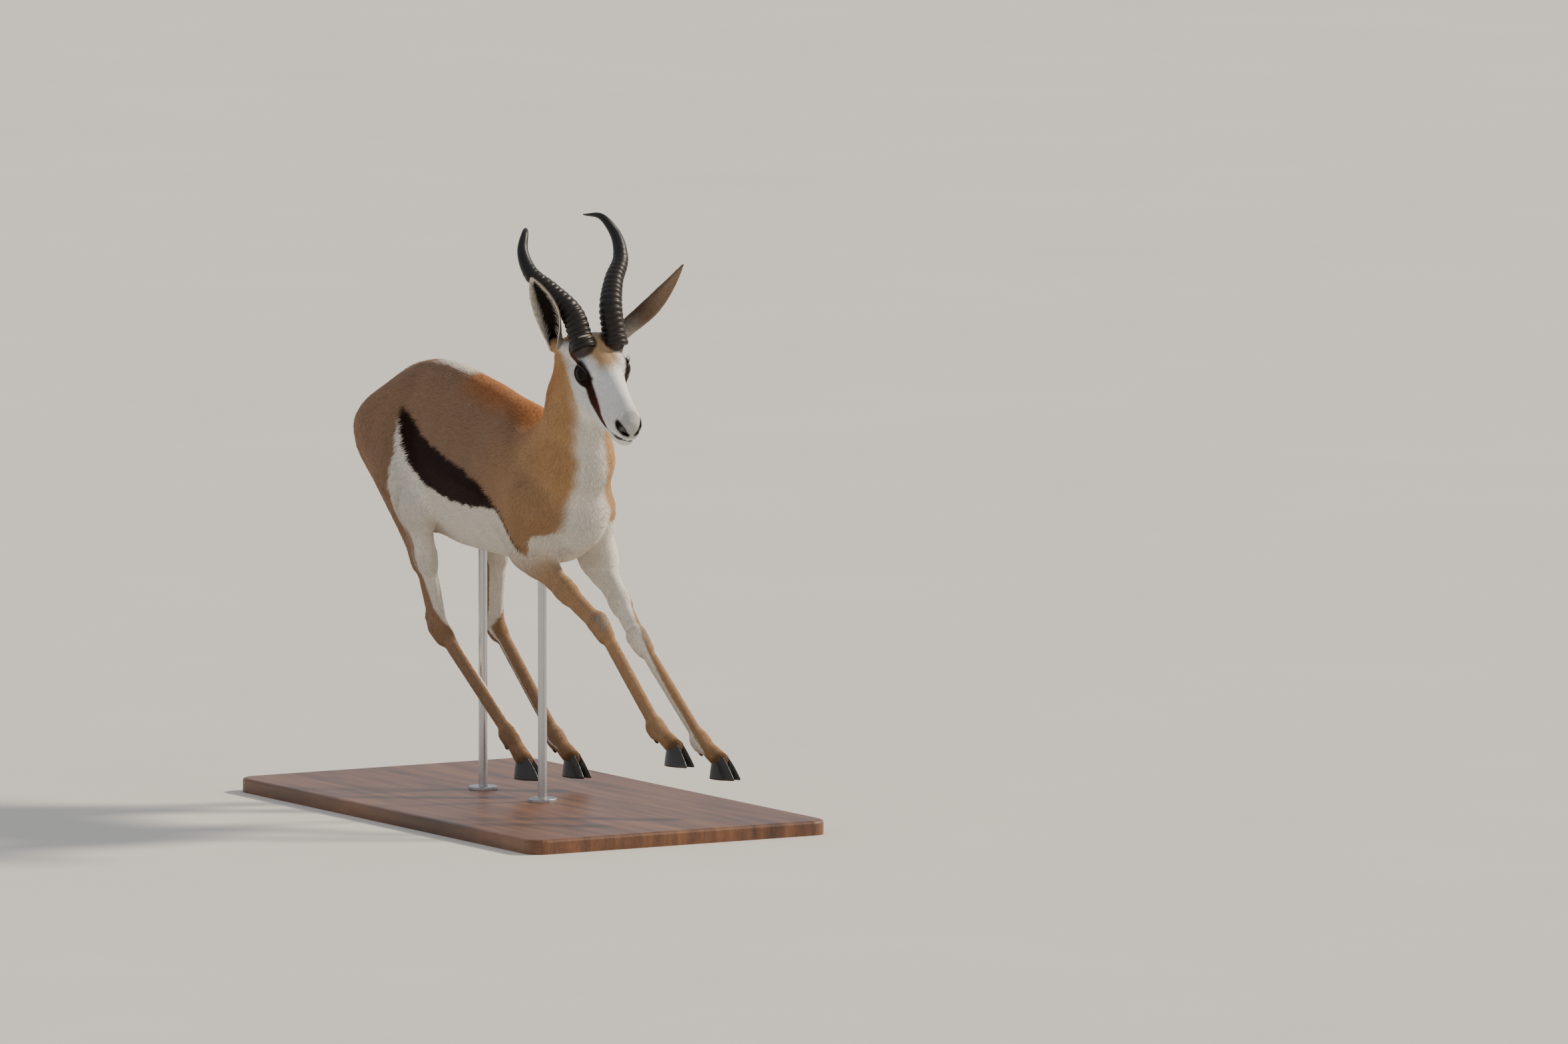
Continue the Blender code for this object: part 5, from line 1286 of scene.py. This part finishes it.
def swept(path, radii, sides, phase=0.0):
    """Rings square to a path, each turned as little as possible from the last. Radii may vary round it."""
    way = unit(np.gradient(path, axis=0))
    across = np.cross(way[0], (0.3, 0.2, 1.0))
    frames = []
    for w in way:
        across = unit(across - w * (across @ w))
        frames.append((across, np.cross(w, across)))
    one, two = (np.array([f[i] for f in frames])[:, None] for i in (0, 1))
    angle = 2 * np.pi * np.arange(sides) / sides + phase
    radii = np.broadcast_to(np.reshape(radii, (len(path), -1)), (len(path), sides))[..., None]
    return path[:, None] + radii * (np.cos(angle)[:, None] * one + np.sin(angle)[:, None] * two)


def capped(rings):
    """Points and three-sided faces of rings, closed at both ends by a point in the middle."""
    rows, columns = rings.shape[:2]
    quads = grid_faces(rows, columns, True)
    faces = np.concatenate([quads[:, [0, 1, 2]], quads[:, [0, 2, 3]]])
    here, after = np.arange(columns), (np.arange(columns) + 1) % columns
    first, last = rows * columns, rows * columns + 1
    low = np.stack([np.full(columns, first), after, here], 1)
    high = np.stack([np.full(columns, last), (rows - 1) * columns + here, (rows - 1) * columns + after], 1)
    points = np.concatenate([rings.reshape(-1, 3), rings[[0, -1]].mean(1)])
    return points, np.concatenate([faces, low, high])


def horn(side, rows=420, sides=56):
    """Radius = the horn's own x (1 + ridge): a ridge rises slowly and drops sharply, once for each ring."""
    rng = np.random.default_rng(4 if side == "right" else 5)
    path = [sided(np.add(HORN_BASE, p) + moved, SIDES[side]) for p, moved in zip(HORN_PATH, HORN_SHIFT[side])]
    path = [path[0] - HORN_SUNK * unit(path[1] - path[0])] + path
    line = curve_through(np.column_stack([path, [HORN_FLARE] + HORN_RADII]), rows)
    u = np.linspace(0, 1, rows)[:, None]
    angle = 2 * np.pi * np.arange(sides) / sides
    marks = np.linspace(0, 1, HORN_RINGS + 1) ** 1.08 + np.append(rng.normal(0, 0.004, HORN_RINGS), 0)
    skew = 0.006 * np.cos(angle + rng.uniform(0, 6)) + 0.0015 * np.sin(5 * angle + rng.uniform(0, 6))
    phase = np.interp(u / RINGED_SHARE + skew, marks, np.arange(HORN_RINGS + 1.0))
    saw = phase - np.floor(phase)
    ridge = share(saw, 0.0, 0.55) * (1 - share(saw, 0.72, 1.0))
    fade = np.clip((RINGED_SHARE - u) / 0.16, 0, 1) * (0.75 + 0.25 * np.sin(3 * angle + 1))
    radii = line[:, 3:] * (1 + RING_DEPTH * (ridge - 0.5) * fade)
    points, faces = capped(swept(line[:, :3], radii, sides))
    # Painted shade in the grooves between rings; the ridges keep the horn's own tone.
    tone = mixed(GROOVE_PAINTED_SHADE, RING_TONE, (ridge * fade).ravel())
    tone = mixed(tone, TIP_TONE, np.repeat(share(u[:, 0], 0.5, 0.7), sides))
    tone = np.concatenate([tone, tone[:1], tone[-1:]])
    made = mesh_object(f"ringed_horn_{side}", points, faces, tone * (1 + 0.2 * wander(points, 0.01, 12))[:, None])
    made.data.materials.append(HORN)
    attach(made, "root")
    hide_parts(f"horn_{side}")
    print(made.name, len(points), "points")


HORN = new_material("keratin", 0.42, Specular_IOR_Level=0.35)
attribute_paint(HORN, 260, 0.75, 1.3)
bumped(HORN, grain(HORN, 500, (1, 1, 0.2)), 0.35, 0.0005)
for side in SIDES:
    horn(side)

# %% [markdown]
# The eye is a wet ball, almost black, with a level pupil in a deep brown iris. Its lids are dark and
# moist at their edge, and long lashes stand out over it, so those are pieces of their own.

# %% Eyes, lids and lashes
IRIS = paint(30, 17, 11)
PUPIL = paint(5, 4, 5)
LID_TONE = paint(20, 14, 12)
PUPIL_HALF = (0.0078, 0.0048)
IRIS_HALF = 0.0135


def eye(side, rows=72, columns=96):
    """A ball about the look of the eye; its colour goes by how far a point lies across and up the front."""
    slit, over, out = eye_axes(SIDES[side])
    fall = np.linspace(0.012, np.pi - 0.012, rows)[:, None]
    angle = 2 * np.pi * np.arange(columns) / columns
    ring = np.stack(np.broadcast_arrays(np.sin(fall) * np.cos(angle), np.sin(fall) * np.sin(angle), np.cos(fall)), -1)
    frame_rows = np.array([slit, over, out])
    bulge = 1 + 0.035 * (1 - share(fall, 0.35, 0.75))
    rings = sided(EYE_PLACE, SIDES[side]) + EYE_RADIUS * (ring @ frame_rows) * bulge[..., None]
    points, faces = capped(rings)
    faces = faces if np.dot(np.cross(slit, over), out) < 0 else faces[:, ::-1]
    q = (points - sided(EYE_PLACE, SIDES[side])) @ frame_rows.T
    in_iris = 1 - share(np.hypot(q[:, 0], q[:, 1]), IRIS_HALF - 0.001, IRIS_HALF + 0.001)
    in_pupil = 1 - share(np.hypot(q[:, 0] / PUPIL_HALF[0], q[:, 1] / PUPIL_HALF[1]), 0.85, 1.1)
    spokes = 0.8 + 0.3 * np.sin(31 * np.arctan2(q[:, 1], q[:, 0]) + 6 * wander(points, 0.004, 14))
    colour = mixed(paint(30, 20, 17), IRIS, in_iris) * spokes[:, None]
    made = mesh_object(f"wet_eye_{side}", points, faces, mixed(colour, PUPIL, in_pupil))
    made.data.materials.append(EYE)
    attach(made, "root")
    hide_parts(f"eye_{side}")


def almond(side, share_round, grow=0.0, lift=0.0012):
    """The lids' edge on the ball: s along the slit and (1 - s^2) to the power 0.8 across it."""
    slit, over, out = eye_axes(SIDES[side])
    turned = 2 * np.pi * np.asarray(share_round)
    s, bow = np.cos(turned), np.sin(turned) * np.abs(np.sin(turned)) ** 0.35
    a, b = s * (EYE_SLIT[0] * 0.95 + grow), bow * (EYE_SLIT[1] * 0.92 + grow)
    depth = np.sqrt(np.clip(EYE_RADIUS**2 - a**2 - b**2, (0.3 * EYE_RADIUS) ** 2, None))
    way = unit(a[:, None] * slit + b[:, None] * over + depth[:, None] * out)
    return sided(EYE_PLACE, SIDES[side]) + way * (EYE_RADIUS + lift), way


def lids(side, count=96, sides=12):
    """A dark, wet rim: a thin ring swept round the almond, thicker above and drawn out at the corners."""
    t = np.arange(count) / count
    path, way = almond(side, t)
    along_rim = unit(np.roll(path, -1, 0) - np.roll(path, 1, 0))
    aside = np.cross(along_rim, way)
    radius = (0.0013 + 0.0005 * np.clip(np.sin(2 * np.pi * t), 0, 1))[:, None, None]
    angle = 2 * np.pi * np.arange(sides) / sides
    section = np.cos(angle)[None, :, None] * aside[:, None] + np.sin(angle)[None, :, None] * way[:, None]
    rings = path[:, None] + radius * section
    quads = grid_faces(count + 1, sides, True) % (count * sides)
    made = mesh_object(f"lid_rim_{side}", rings.reshape(-1, 3), quads, np.tile(LID_TONE, (count * sides, 1)))
    outward(made)
    made.data.materials.append(LID_SKIN)
    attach(made, "root")


def outward(obj):
    """Turns every closed surface of an object so that its faces point out."""
    shape = bmesh.new()
    shape.from_mesh(obj.data)
    bmesh.ops.recalc_face_normals(shape, faces=shape.faces)
    shape.to_mesh(obj.data)
    shape.free()


def blades(name, roots, ways, bends, lengths, radii, colour, material, rows=7):
    """Thin tapering hairs: root + way x t + bend x t^2, three-sided and closed to a point."""
    t = np.linspace(0, 1, rows)[None, :, None]
    line = roots[:, None] + (ways[:, None] * t + bends[:, None] * t**2) * lengths[:, None, None]
    tangent = unit(ways[:, None] + 2 * bends[:, None] * t)
    one = unit(np.cross(tangent, (0.31, 0.77, 0.55)))
    two = np.cross(tangent, one)
    angle = 2 * np.pi * np.arange(3) / 3
    radius = radii[:, None, None, None] * (1 - 0.94 * t**1.5)[..., None]
    points = line[:, :, None] + radius * (np.cos(angle)[:, None] * one[:, :, None] + np.sin(angle)[:, None] * two[:, :, None])
    quads = grid_faces(rows, 3, True)
    ends = np.array([(0, 2, 1, 1), (3 * rows - 3, 3 * rows - 2, 3 * rows - 1, 3 * rows - 1)])
    tris = np.concatenate([quads[:, [0, 1, 2]], quads[:, [0, 2, 3]], ends[:, :3]])
    faces = (tris + 3 * rows * np.arange(len(roots))[:, None, None]).reshape(-1, 3)
    colours = np.repeat(np.broadcast_to(colour, (len(roots), 3)), 3 * rows, axis=0)
    made = mesh_object(name, points.reshape(-1, 3), faces, colours)
    made.data.materials.append(material)
    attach(made, "root")
    print(name, len(roots), "hairs")
    return made


def lashes(side, count=46):
    """Upper lashes stand out and forward, longest over the middle."""
    rng = np.random.default_rng(21)
    slit, over, out = eye_axes(SIDES[side])
    over = over if (over @ HEAD_TURN[:, 2]) > 0 else -over
    up = 1 if np.dot(eye_axes(SIDES[side])[1], over) > 0 else -1
    t = up * np.sort(rng.uniform(0.04, 0.40, count))
    roots, way = almond(side, t, 0.0008, 0.0020)
    ways = unit(way * 0.9 + over * 0.35 + slit * rng.normal(0, 0.10, (count, 1)))
    lengths = 0.0075 + 0.0060 * np.sin(np.pi * np.abs(t) / 0.44) + rng.normal(0, 0.0008, count)
    bends = over * 0.35 - way * 0.15
    blades(f"lashes_{side}", roots, ways, bends, lengths, np.full(count, 0.00032), LID_TONE, LASH)


EYE = new_material("wet_eye", 0.06, Specular_IOR_Level=0.12)
attribute_paint(EYE, 900, 0.8, 1.2)
LID_SKIN = new_material("lid_skin", 0.28, Specular_IOR_Level=0.5)
attribute_paint(LID_SKIN, 1200, 0.7, 1.3)
bumped(LID_SKIN, grain(LID_SKIN, 1500), 0.4, 0.0003)
LASH = new_material("coarse_hair", 0.45, Specular_IOR_Level=0.4)
attribute_paint(LASH, 900, 0.8, 1.2)
for side in SIDES:
    eye(side)
    lids(side)
    lashes(side)
print("eyes, lids and lashes made")

# %% [markdown]
# An ear is a leaf rolled into a cup: nearly a tube at the root, wide and open half way up, and pointed.
# Its back carries short coat hair, its inside is bare and dark with long pale hairs along the edges.

# %% Ears
EAR_LENGTH = 0.172
EAR_OPENING = {"right": (0.45, -0.66, -0.60), "left": (-0.79, -0.24, 0.54)}
EAR_WALL = 0.0021
# The sign picks which edge of each ear's back gets painted sunlight, a pale band.
EAR_LIT = -1
EAR_STATIONS = [
    (0.00, 0.0136, 150), (0.10, 0.0152, 128), (0.25, 0.0205, 92), (0.42, 0.0270, 70),
    (0.60, 0.0265, 62), (0.78, 0.0195, 56), (0.92, 0.0105, 52), (1.00, 0.0030, 50),
]
EAR_BACK = paint(104, 86, 70)
EAR_INSIDE = paint(24, 17, 13)
EAR_PALE = paint(206, 200, 190)
EAR_EDGE = paint(58, 46, 38)


def ear_frame(side):
    """The ear's root, the way it points, the way it opens, and across."""
    axis = unit(EAR_AXIS[side])
    opening = unit(np.array(EAR_OPENING[side]) - axis * (np.array(EAR_OPENING[side]) @ axis))
    return sided(EAR_BASE, SIDES[side]) + axis * 0.010, axis, opening, np.cross(axis, opening)


def ear_sheet(side, u, v, inset=0.0):
    """Leaf: at share u of its length an arc of radius r(u) and half angle h(u), at share v across it."""
    root, axis, opening, across = ear_frame(side)
    radius_at, half_at = smooth_curve(EAR_STATIONS, 1), smooth_curve(EAR_STATIONS, 2)
    radius, half = radius_at(u), np.radians(half_at(u))
    fold = 0.0012 * np.sin(9 * v + 3 * u) * np.sin(np.pi * np.clip(u, 0, 1)) * (1 - v**2)
    r = radius - np.minimum(inset, 0.35 * radius) + fold
    lean = 0.010 * np.sin(np.pi * np.clip(u, 0, 1))
    out = -r * np.cos(v * half) + (radius - 0.0136) * 0.75 - lean
    return root + u[..., None] * EAR_LENGTH * axis + out[..., None] * opening + (r * np.sin(v * half))[..., None] * across


def ear(side, rows=110, columns=73):
    """Two sheets a wall apart, back and inside, joined round their edge by a rounded rim."""
    u, v = np.meshgrid(np.linspace(-0.05, 1, rows), np.linspace(-1, 1, columns), indexing="ij")
    back, inner = ear_sheet(side, u, v), ear_sheet(side, u, v, EAR_WALL)
    rim = (back[:, [0, -1]] + inner[:, [0, -1]]) / 2
    root, axis, opening, across = ear_frame(side)
    rim = rim + across * np.array([-1, 1])[None, :, None] * 0.0008
    ring = np.concatenate([back, rim[:, 1:], inner[:, ::-1], rim[:, :1]], 1)
    points, faces = capped(ring)
    kind = np.tile(np.concatenate([np.zeros(columns), [0.5], np.ones(columns), [0.5]]), rows)
    across_share = np.tile(np.concatenate([v[0], [1.0], v[0][::-1], [-1.0]]), rows)
    along_share = np.repeat(u[:, 0], ring.shape[1])
    near_edge = share(np.abs(across_share), 0.90, 1.0)
    rim_share = share(np.abs(across_share) + 0.9 * share(along_share, 0.80, 1.0), 0.50, 0.78)
    inside = mixed(EAR_INSIDE, EAR_PALE, rim_share)
    outside = mixed(EAR_BACK, EAR_EDGE, 0.75 * near_edge * share(along_share, 0.3, 0.7) + 0.5 * share(along_share, 0.85, 1))
    outside = mixed(outside, EAR_PALE * 0.75, 0.6 * (1 - share(along_share, 0.0, 0.3)))
    # Painted highlight: a pale band along the sunlit edge of the ear's back.
    outside = mixed(outside, EAR_PALE, share(across_share * EAR_LIT, 0.78, 0.90) * (1 - share(along_share, 0.75, 0.95)))
    colour = np.where(kind[:, None] > 0.4, inside, outside)
    colour = np.concatenate([colour, colour[:1], colour[-1:]]) * (1 + 0.15 * wander(points, 0.01, 15))[:, None]
    made = mesh_object(f"ear_cup_{side}", points, faces, colour)
    outward(made)
    made.data.materials.append(SKIN)
    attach(made, "root")
    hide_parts(f"ear_{side}")
    return made


def ear_normal(side, u, v):
    """The direction away from the ear's back, from its own slope along and across."""
    du = ear_sheet(side, u + 0.002, v) - ear_sheet(side, u - 0.002, v)
    dv = ear_sheet(side, u, v + 0.002) - ear_sheet(side, u, v - 0.002)
    made = unit(np.cross(du, dv))
    centre = ear_sheet(side, u, v * 0)
    inward = ear_sheet(side, u, v, 0.002) - ear_sheet(side, u, v)
    return made * -np.sign((made * inward).sum(-1, keepdims=True)), unit(du)


def ear_coat(side, count=5200):
    """Short hair over the ear's back, combed to its tip."""
    rng = np.random.default_rng(51 if side == "left" else 52)
    u, v = rng.uniform(0.0, 0.985, count) ** 0.9, rng.uniform(-0.98, 0.98, count)
    roots = ear_sheet(side, u, v)
    normals, way = ear_normal(side, u, v)
    edge = share(np.abs(v), 0.70, 0.95)
    colour = mixed(EAR_BACK, EAR_EDGE, 0.75 * edge * share(u, 0.3, 0.7) + 0.5 * share(u, 0.85, 1))
    colour = mixed(colour, EAR_PALE * 0.75, 0.6 * (1 - share(u, 0.0, 0.3)))
    # Painted highlight: the same pale band along the sunlit edge, on the ear's hair.
    colour = mixed(colour, EAR_PALE, share(v * EAR_LIT, 0.78, 0.90) * (1 - share(u, 0.75, 0.95)))
    colour = colour * (1 + 0.1 * wander(roots, 0.01, 16))[:, None]
    places = strip(v / 2 + 0.5, u, int(side == "left"), 2)
    sizes = [np.full(count, value) for value in (0.0070, 0.0011, 0.0008)]
    tufts(f"coat_ear_{side}", roots, normals, way, *sizes, colour, places, 53)


def ear_fringe(side, count=420):
    """Long pale hairs that start inside both edges and lean over the opening."""
    rng = np.random.default_rng(61 if side == "left" else 62)
    u = rng.uniform(0.06, 0.90, count)
    edge = np.where(rng.random(count) < 0.5, -1.0, 1.0)
    v = edge * rng.uniform(0.55, 0.96, count)
    roots = ear_sheet(side, u, v, EAR_WALL)
    normals, way = ear_normal(side, u, v)
    _, axis, opening, across = ear_frame(side)
    ways = unit(way * 0.9 - normals * 0.35 - across * edge[:, None] * 0.25 + rng.normal(0, 0.12, (count, 3)))
    lengths = rng.uniform(0.008, 0.017, count) * (1 - 0.5 * u)
    tones = EAR_PALE * rng.uniform(0.75, 1.0, (count, 1))
    bends = np.broadcast_to(axis * 0.25, (count, 3))
    blades(f"ear_hair_{side}", roots, ways, bends, lengths, np.full(count, 0.00028), tones, LASH, 4)


for side in SIDES:
    ear(side)
    ear_coat(side)
    ear_fringe(side)

# %% [markdown]
# A hoof is two toes of black horn that part in front. Each toe is a ring profile: sloped where it leaves
# the hair, widest just over the ground and narrow at its point. Behind the fetlock sit two dewclaws.

# %% Hooves and dewclaws
HOOF_HEIGHT = 0.033
HOOF_RINGS = [
    (0.0, 0.029, 0.0148, 0.0), (0.40, 0.041, 0.0165, 0.0003), (0.95, 0.0550, 0.0180, 0.0014), (1.0, 0.0525, 0.0165, 0.0014),
]
HOOF_SPLIT = 0.0012
HOOF_TONE = paint(26, 24, 24)
HOOF_WORN = paint(74, 64, 54)


def hoof(end, side, toe, sign, rows=26, sides=44):
    """Rings from the coronet down to the sole: an egg that narrows to the front, with fine growth lines."""
    fetlock, coronet = JOINTS[end, side][3:]
    pastern = unit(coronet - fetlock)
    plane = unit(0.55 * pastern + (0, 0, -0.80))
    ahead = unit((pastern[0], pastern[1], 0.0))
    across = np.cross((0, 0, 1), ahead) * sign
    top_ahead, top_across = unit(ahead - plane * (ahead @ plane)), unit(across - plane * (across @ plane))
    angle = 2 * np.pi * np.arange(sides) / sides
    long, wide = np.cos(angle), np.sin(angle)
    wide = wide * np.where(wide < 0, 0.75, 1.0) * (1 - 0.55 * np.clip(long, 0, 1) ** 1.6)
    table = np.array(HOOF_RINGS)
    k = np.concatenate([np.linspace(-0.06, 0.95, rows - 5), np.linspace(0.96, 1.0, 4), [1.0]])
    length, width, spread = (np.interp(k, table[:, 0], table[:, i]) for i in (1, 2, 3))
    lines = 1 + 0.006 * np.sin(k * 60) * share(k, 0.05, 0.2) * (1 - share(k, 0.9, 0.97))
    length, width = length * lines, width * lines
    length[-1], width[-1] = length[-1] * 0.8, width[-1] * 0.7
    sole = coronet + ahead * 0.012 - np.array([0, 0, HOOF_HEIGHT])
    t = k[:, None]
    fore, aside = unit(top_ahead * (1 - t) + ahead * t), unit(top_across * (1 - t) + across * t)
    centre = coronet * (1 - t) + sole * t
    middle = HOOF_SPLIT + spread + width * 0.75 / 2
    rings = centre[:, None] + (long * length[:, None] / 2)[..., None] * fore[:, None]
    rings = rings + (wide * width[:, None] / 2 + middle[:, None])[..., None] * aside[:, None]
    points, faces = capped(rings)
    worn = np.append(np.repeat(share(k, 0.80, 1.0), sides), [0, 1.0])
    rough = np.clip(0.5 + 0.6 * wander(points, 0.006, 17), 0, 1)
    made = mesh_object(f"toe_{end}_{side}_{toe}", points, faces, mixed(HOOF_TONE, HOOF_WORN, 0.7 * worn * rough))
    outward(made)
    made.data.materials.append(HOOF)
    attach(made, "root")
    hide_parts(f"hoof_{end}_{side}_{toe}")


def dewclaws(end, side):
    """Two small blunt cones behind the fetlock, pointing down and back."""
    knee, fetlock, coronet = JOINTS[end, side][2:]
    down = unit(coronet - fetlock)
    back = unit(np.cross(LEFTWARD, fetlock - knee))
    back = unit(back - down * (back @ down))
    across = np.cross(down, back)
    made = []
    for sign in (-1, 1):
        start = fetlock + down * 0.010 + back * 0.0095 + across * sign * 0.0075
        t = np.linspace(0, 1, 9)[:, None]
        path = start + (down * 0.55 + back * 0.80) * 0.011 * t + down * 0.004 * t**2
        made.append(capped(swept(path, 0.0048 * np.sqrt(1.0001 - np.linspace(0, 1, 9) ** 2.2), 12)))
    points = np.concatenate([made[0][0], made[1][0]])
    faces = np.concatenate([made[0][1], made[1][1] + len(made[0][0])])
    claws = mesh_object(f"dewclaws_{end}_{side}", points, faces, np.tile(HOOF_TONE, (len(points), 1)))
    outward(claws)
    claws.data.materials.append(HOOF)
    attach(claws, "root")


HOOF = new_material("hoof_horn", 0.30, Specular_IOR_Level=0.6, Coat_Weight=0.2)
attribute_paint(HOOF, 300, 0.7, 1.3)
bumped(HOOF, grain(HOOF, 400, (1, 1, 3)), 0.35, 0.0006)
for end in ("fore", "hind"):
    for side, sign in SIDES.items():
        hoof(end, side, "inner", -sign)
        hoof(end, side, "outer", sign)
        dewclaws(end, side)
print("hooves made")

# %% [markdown]
# The tail is thin and white and ends in a dark tuft of longer hair.

# %% Tail
TAIL_WAY = (-0.055, 0, -0.030)
TAIL_PATH = [
    (-0.015, 0, -0.007), (-0.029, 0.002, -0.026), (-0.033, 0.010, -0.070), (-0.024, 0.024, -0.117),
    (-0.006, 0.036, -0.160),
]
TAIL_RADII = ([0, 0.25, 0.6, 0.75, 0.9, 1], [0.0100, 0.0078, 0.0060, 0.0066, 0.0060, 0.0012])


def tail(rows=80, sides=20):
    """A tapering tube along the tail's line, and hair sown over it that grows longer down to the tuft."""
    start = trunk_point(TAIL_ROOT)
    back = start - TRUNK_TURN @ unit(TAIL_WAY) * 0.006
    path = [back, start] + [start + TRUNK_TURN @ np.array(p) for p in TAIL_PATH]
    line = curve_through(path, rows)
    u = np.linspace(0, 1, rows)
    rings = swept(line, np.interp(u, *TAIL_RADII), sides)
    points, faces = capped(rings)
    dark = share(u, 0.62, 0.70)
    tone = mixed(WHITE, BLACK * 1.5, dark)
    colours = np.concatenate([np.repeat(tone, sides, axis=0), tone[:1], tone[-1:]])
    made = mesh_object("tail_core", points, faces, colours)
    outward(made)
    made.data.materials.append(SKIN)
    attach(made, "root")
    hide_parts("tail")
    rng = np.random.default_rng(71)
    count = 5200
    row, column = rng.uniform(0, rows - 2, count) ** 1.0, rng.integers(0, sides, count)
    i = row.astype(int)
    part = (row - i)[:, None]
    roots = rings[i, column] * (1 - part) + rings[i + 1, column] * part
    normals = unit(roots - (line[i] * (1 - part) + line[i + 1] * part))
    way = unit(line[i + 1] - line[i])
    t = row / (rows - 1)
    long = 0.010 + 0.030 * share(t, 0.62, 0.80) * (1 - 0.25 * share(t, 0.9, 1))
    lift = 0.0015 + 0.0045 * share(t, 0.62, 0.8)
    shade = mixed(mixed(WHITE, TAN_WARM, 0.5 * (1 - share(t, 0, 0.12))), BLACK * 1.5, share(t, 0.62, 0.70))
    places = strip(column / sides, t)
    tufts("coat_tail", roots, normals, way, long, np.full(count, 0.0016), lift, shade, places, 72)


tail()

# %% [markdown]
# The stand is only there to hold the animal. Its board is stained hardwood, whose grain is noise pulled
# out along the board, and its rods are brushed steel.

# %% Stand, floor and the finished piece
def board_material():
    """Rings of grain: stretched noise through three browns, with fine pores and a satin varnish."""
    made = new_material("stained_wood", 0.42, Coat_Weight=0.12, Coat_Roughness=0.3)
    broad, pores = grain(made, 9, (0.35, 4.5, 1), 6), grain(made, 60, (0.25, 9, 2), 4)
    ramp = node(made, "ValToRGB")
    ramp.color_ramp.elements.new(0.5)
    for stop, (place, tone) in zip(ramp.color_ramp.elements, ((0.30, (74, 46, 30)), (0.50, (112, 72, 46)), (0.72, (140, 94, 60)))):
        stop.position, stop.color = place, (*paint(*tone), 1)
    dark = node(made, "VectorMath")
    dark.operation = "SCALE"
    shader = made.node_tree.nodes["Principled BSDF"]
    joined(
        made, (broad, ramp.inputs["Fac"]), (ramp.outputs["Color"], dark.inputs[0]),
        (ranged(made, pores, 0.72, 1.08), dark.inputs["Scale"]), (dark.outputs[0], shader.inputs["Base Color"]),
    )
    bumped(made, pores, 0.25, 0.0008)
    return made


def steel_material():
    """Steel with fine brush marks round the rod in its roughness and bump."""
    made = new_material("brushed_steel", 0.32, Metallic=1.0)
    shader = made.node_tree.nodes["Principled BSDF"]
    ramp = node(made, "ValToRGB")
    for stop, value in zip(ramp.color_ramp.elements, (0.42, 0.62)):
        stop.color = (value, value, value * 1.02, 1)
    brush = grain(made, 260, (0.4, 0.4, 8))
    joined(made, (brush, ramp.inputs["Fac"]), (ramp.outputs["Color"], shader.inputs["Base Color"]))
    joined(made, (ranged(made, brush, 0.24, 0.42), shader.inputs["Roughness"]))
    bumped(made, brush, 0.15, 0.0003)
    return made


def floor_material():
    """A pale matt floor with the faintest mottling."""
    made = new_material("pale_floor", 0.9, Specular_IOR_Level=0.2)
    ramp = node(made, "ValToRGB")
    for stop, tone in zip(ramp.color_ramp.elements, ((214, 210, 202), (222, 218, 210))):
        stop.color = (*paint(*tone), 1)
    joined(made, (grain(made, 1.5), ramp.inputs["Fac"]))
    joined(made, (ramp.outputs["Color"], made.node_tree.nodes["Principled BSDF"].inputs["Base Color"]))
    return made


def dressed(name, material):
    """Gives a solid that stays its better material."""
    for number in range(len(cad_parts[name].material_slots)):
        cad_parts[name].material_slots[number].material = material


dressed("stand_base", board_material())
steel = steel_material()
dressed("stand_rod_front", steel)
dressed("stand_rod_rear", steel)
ground = floor()
ground.data.materials.append(floor_material())
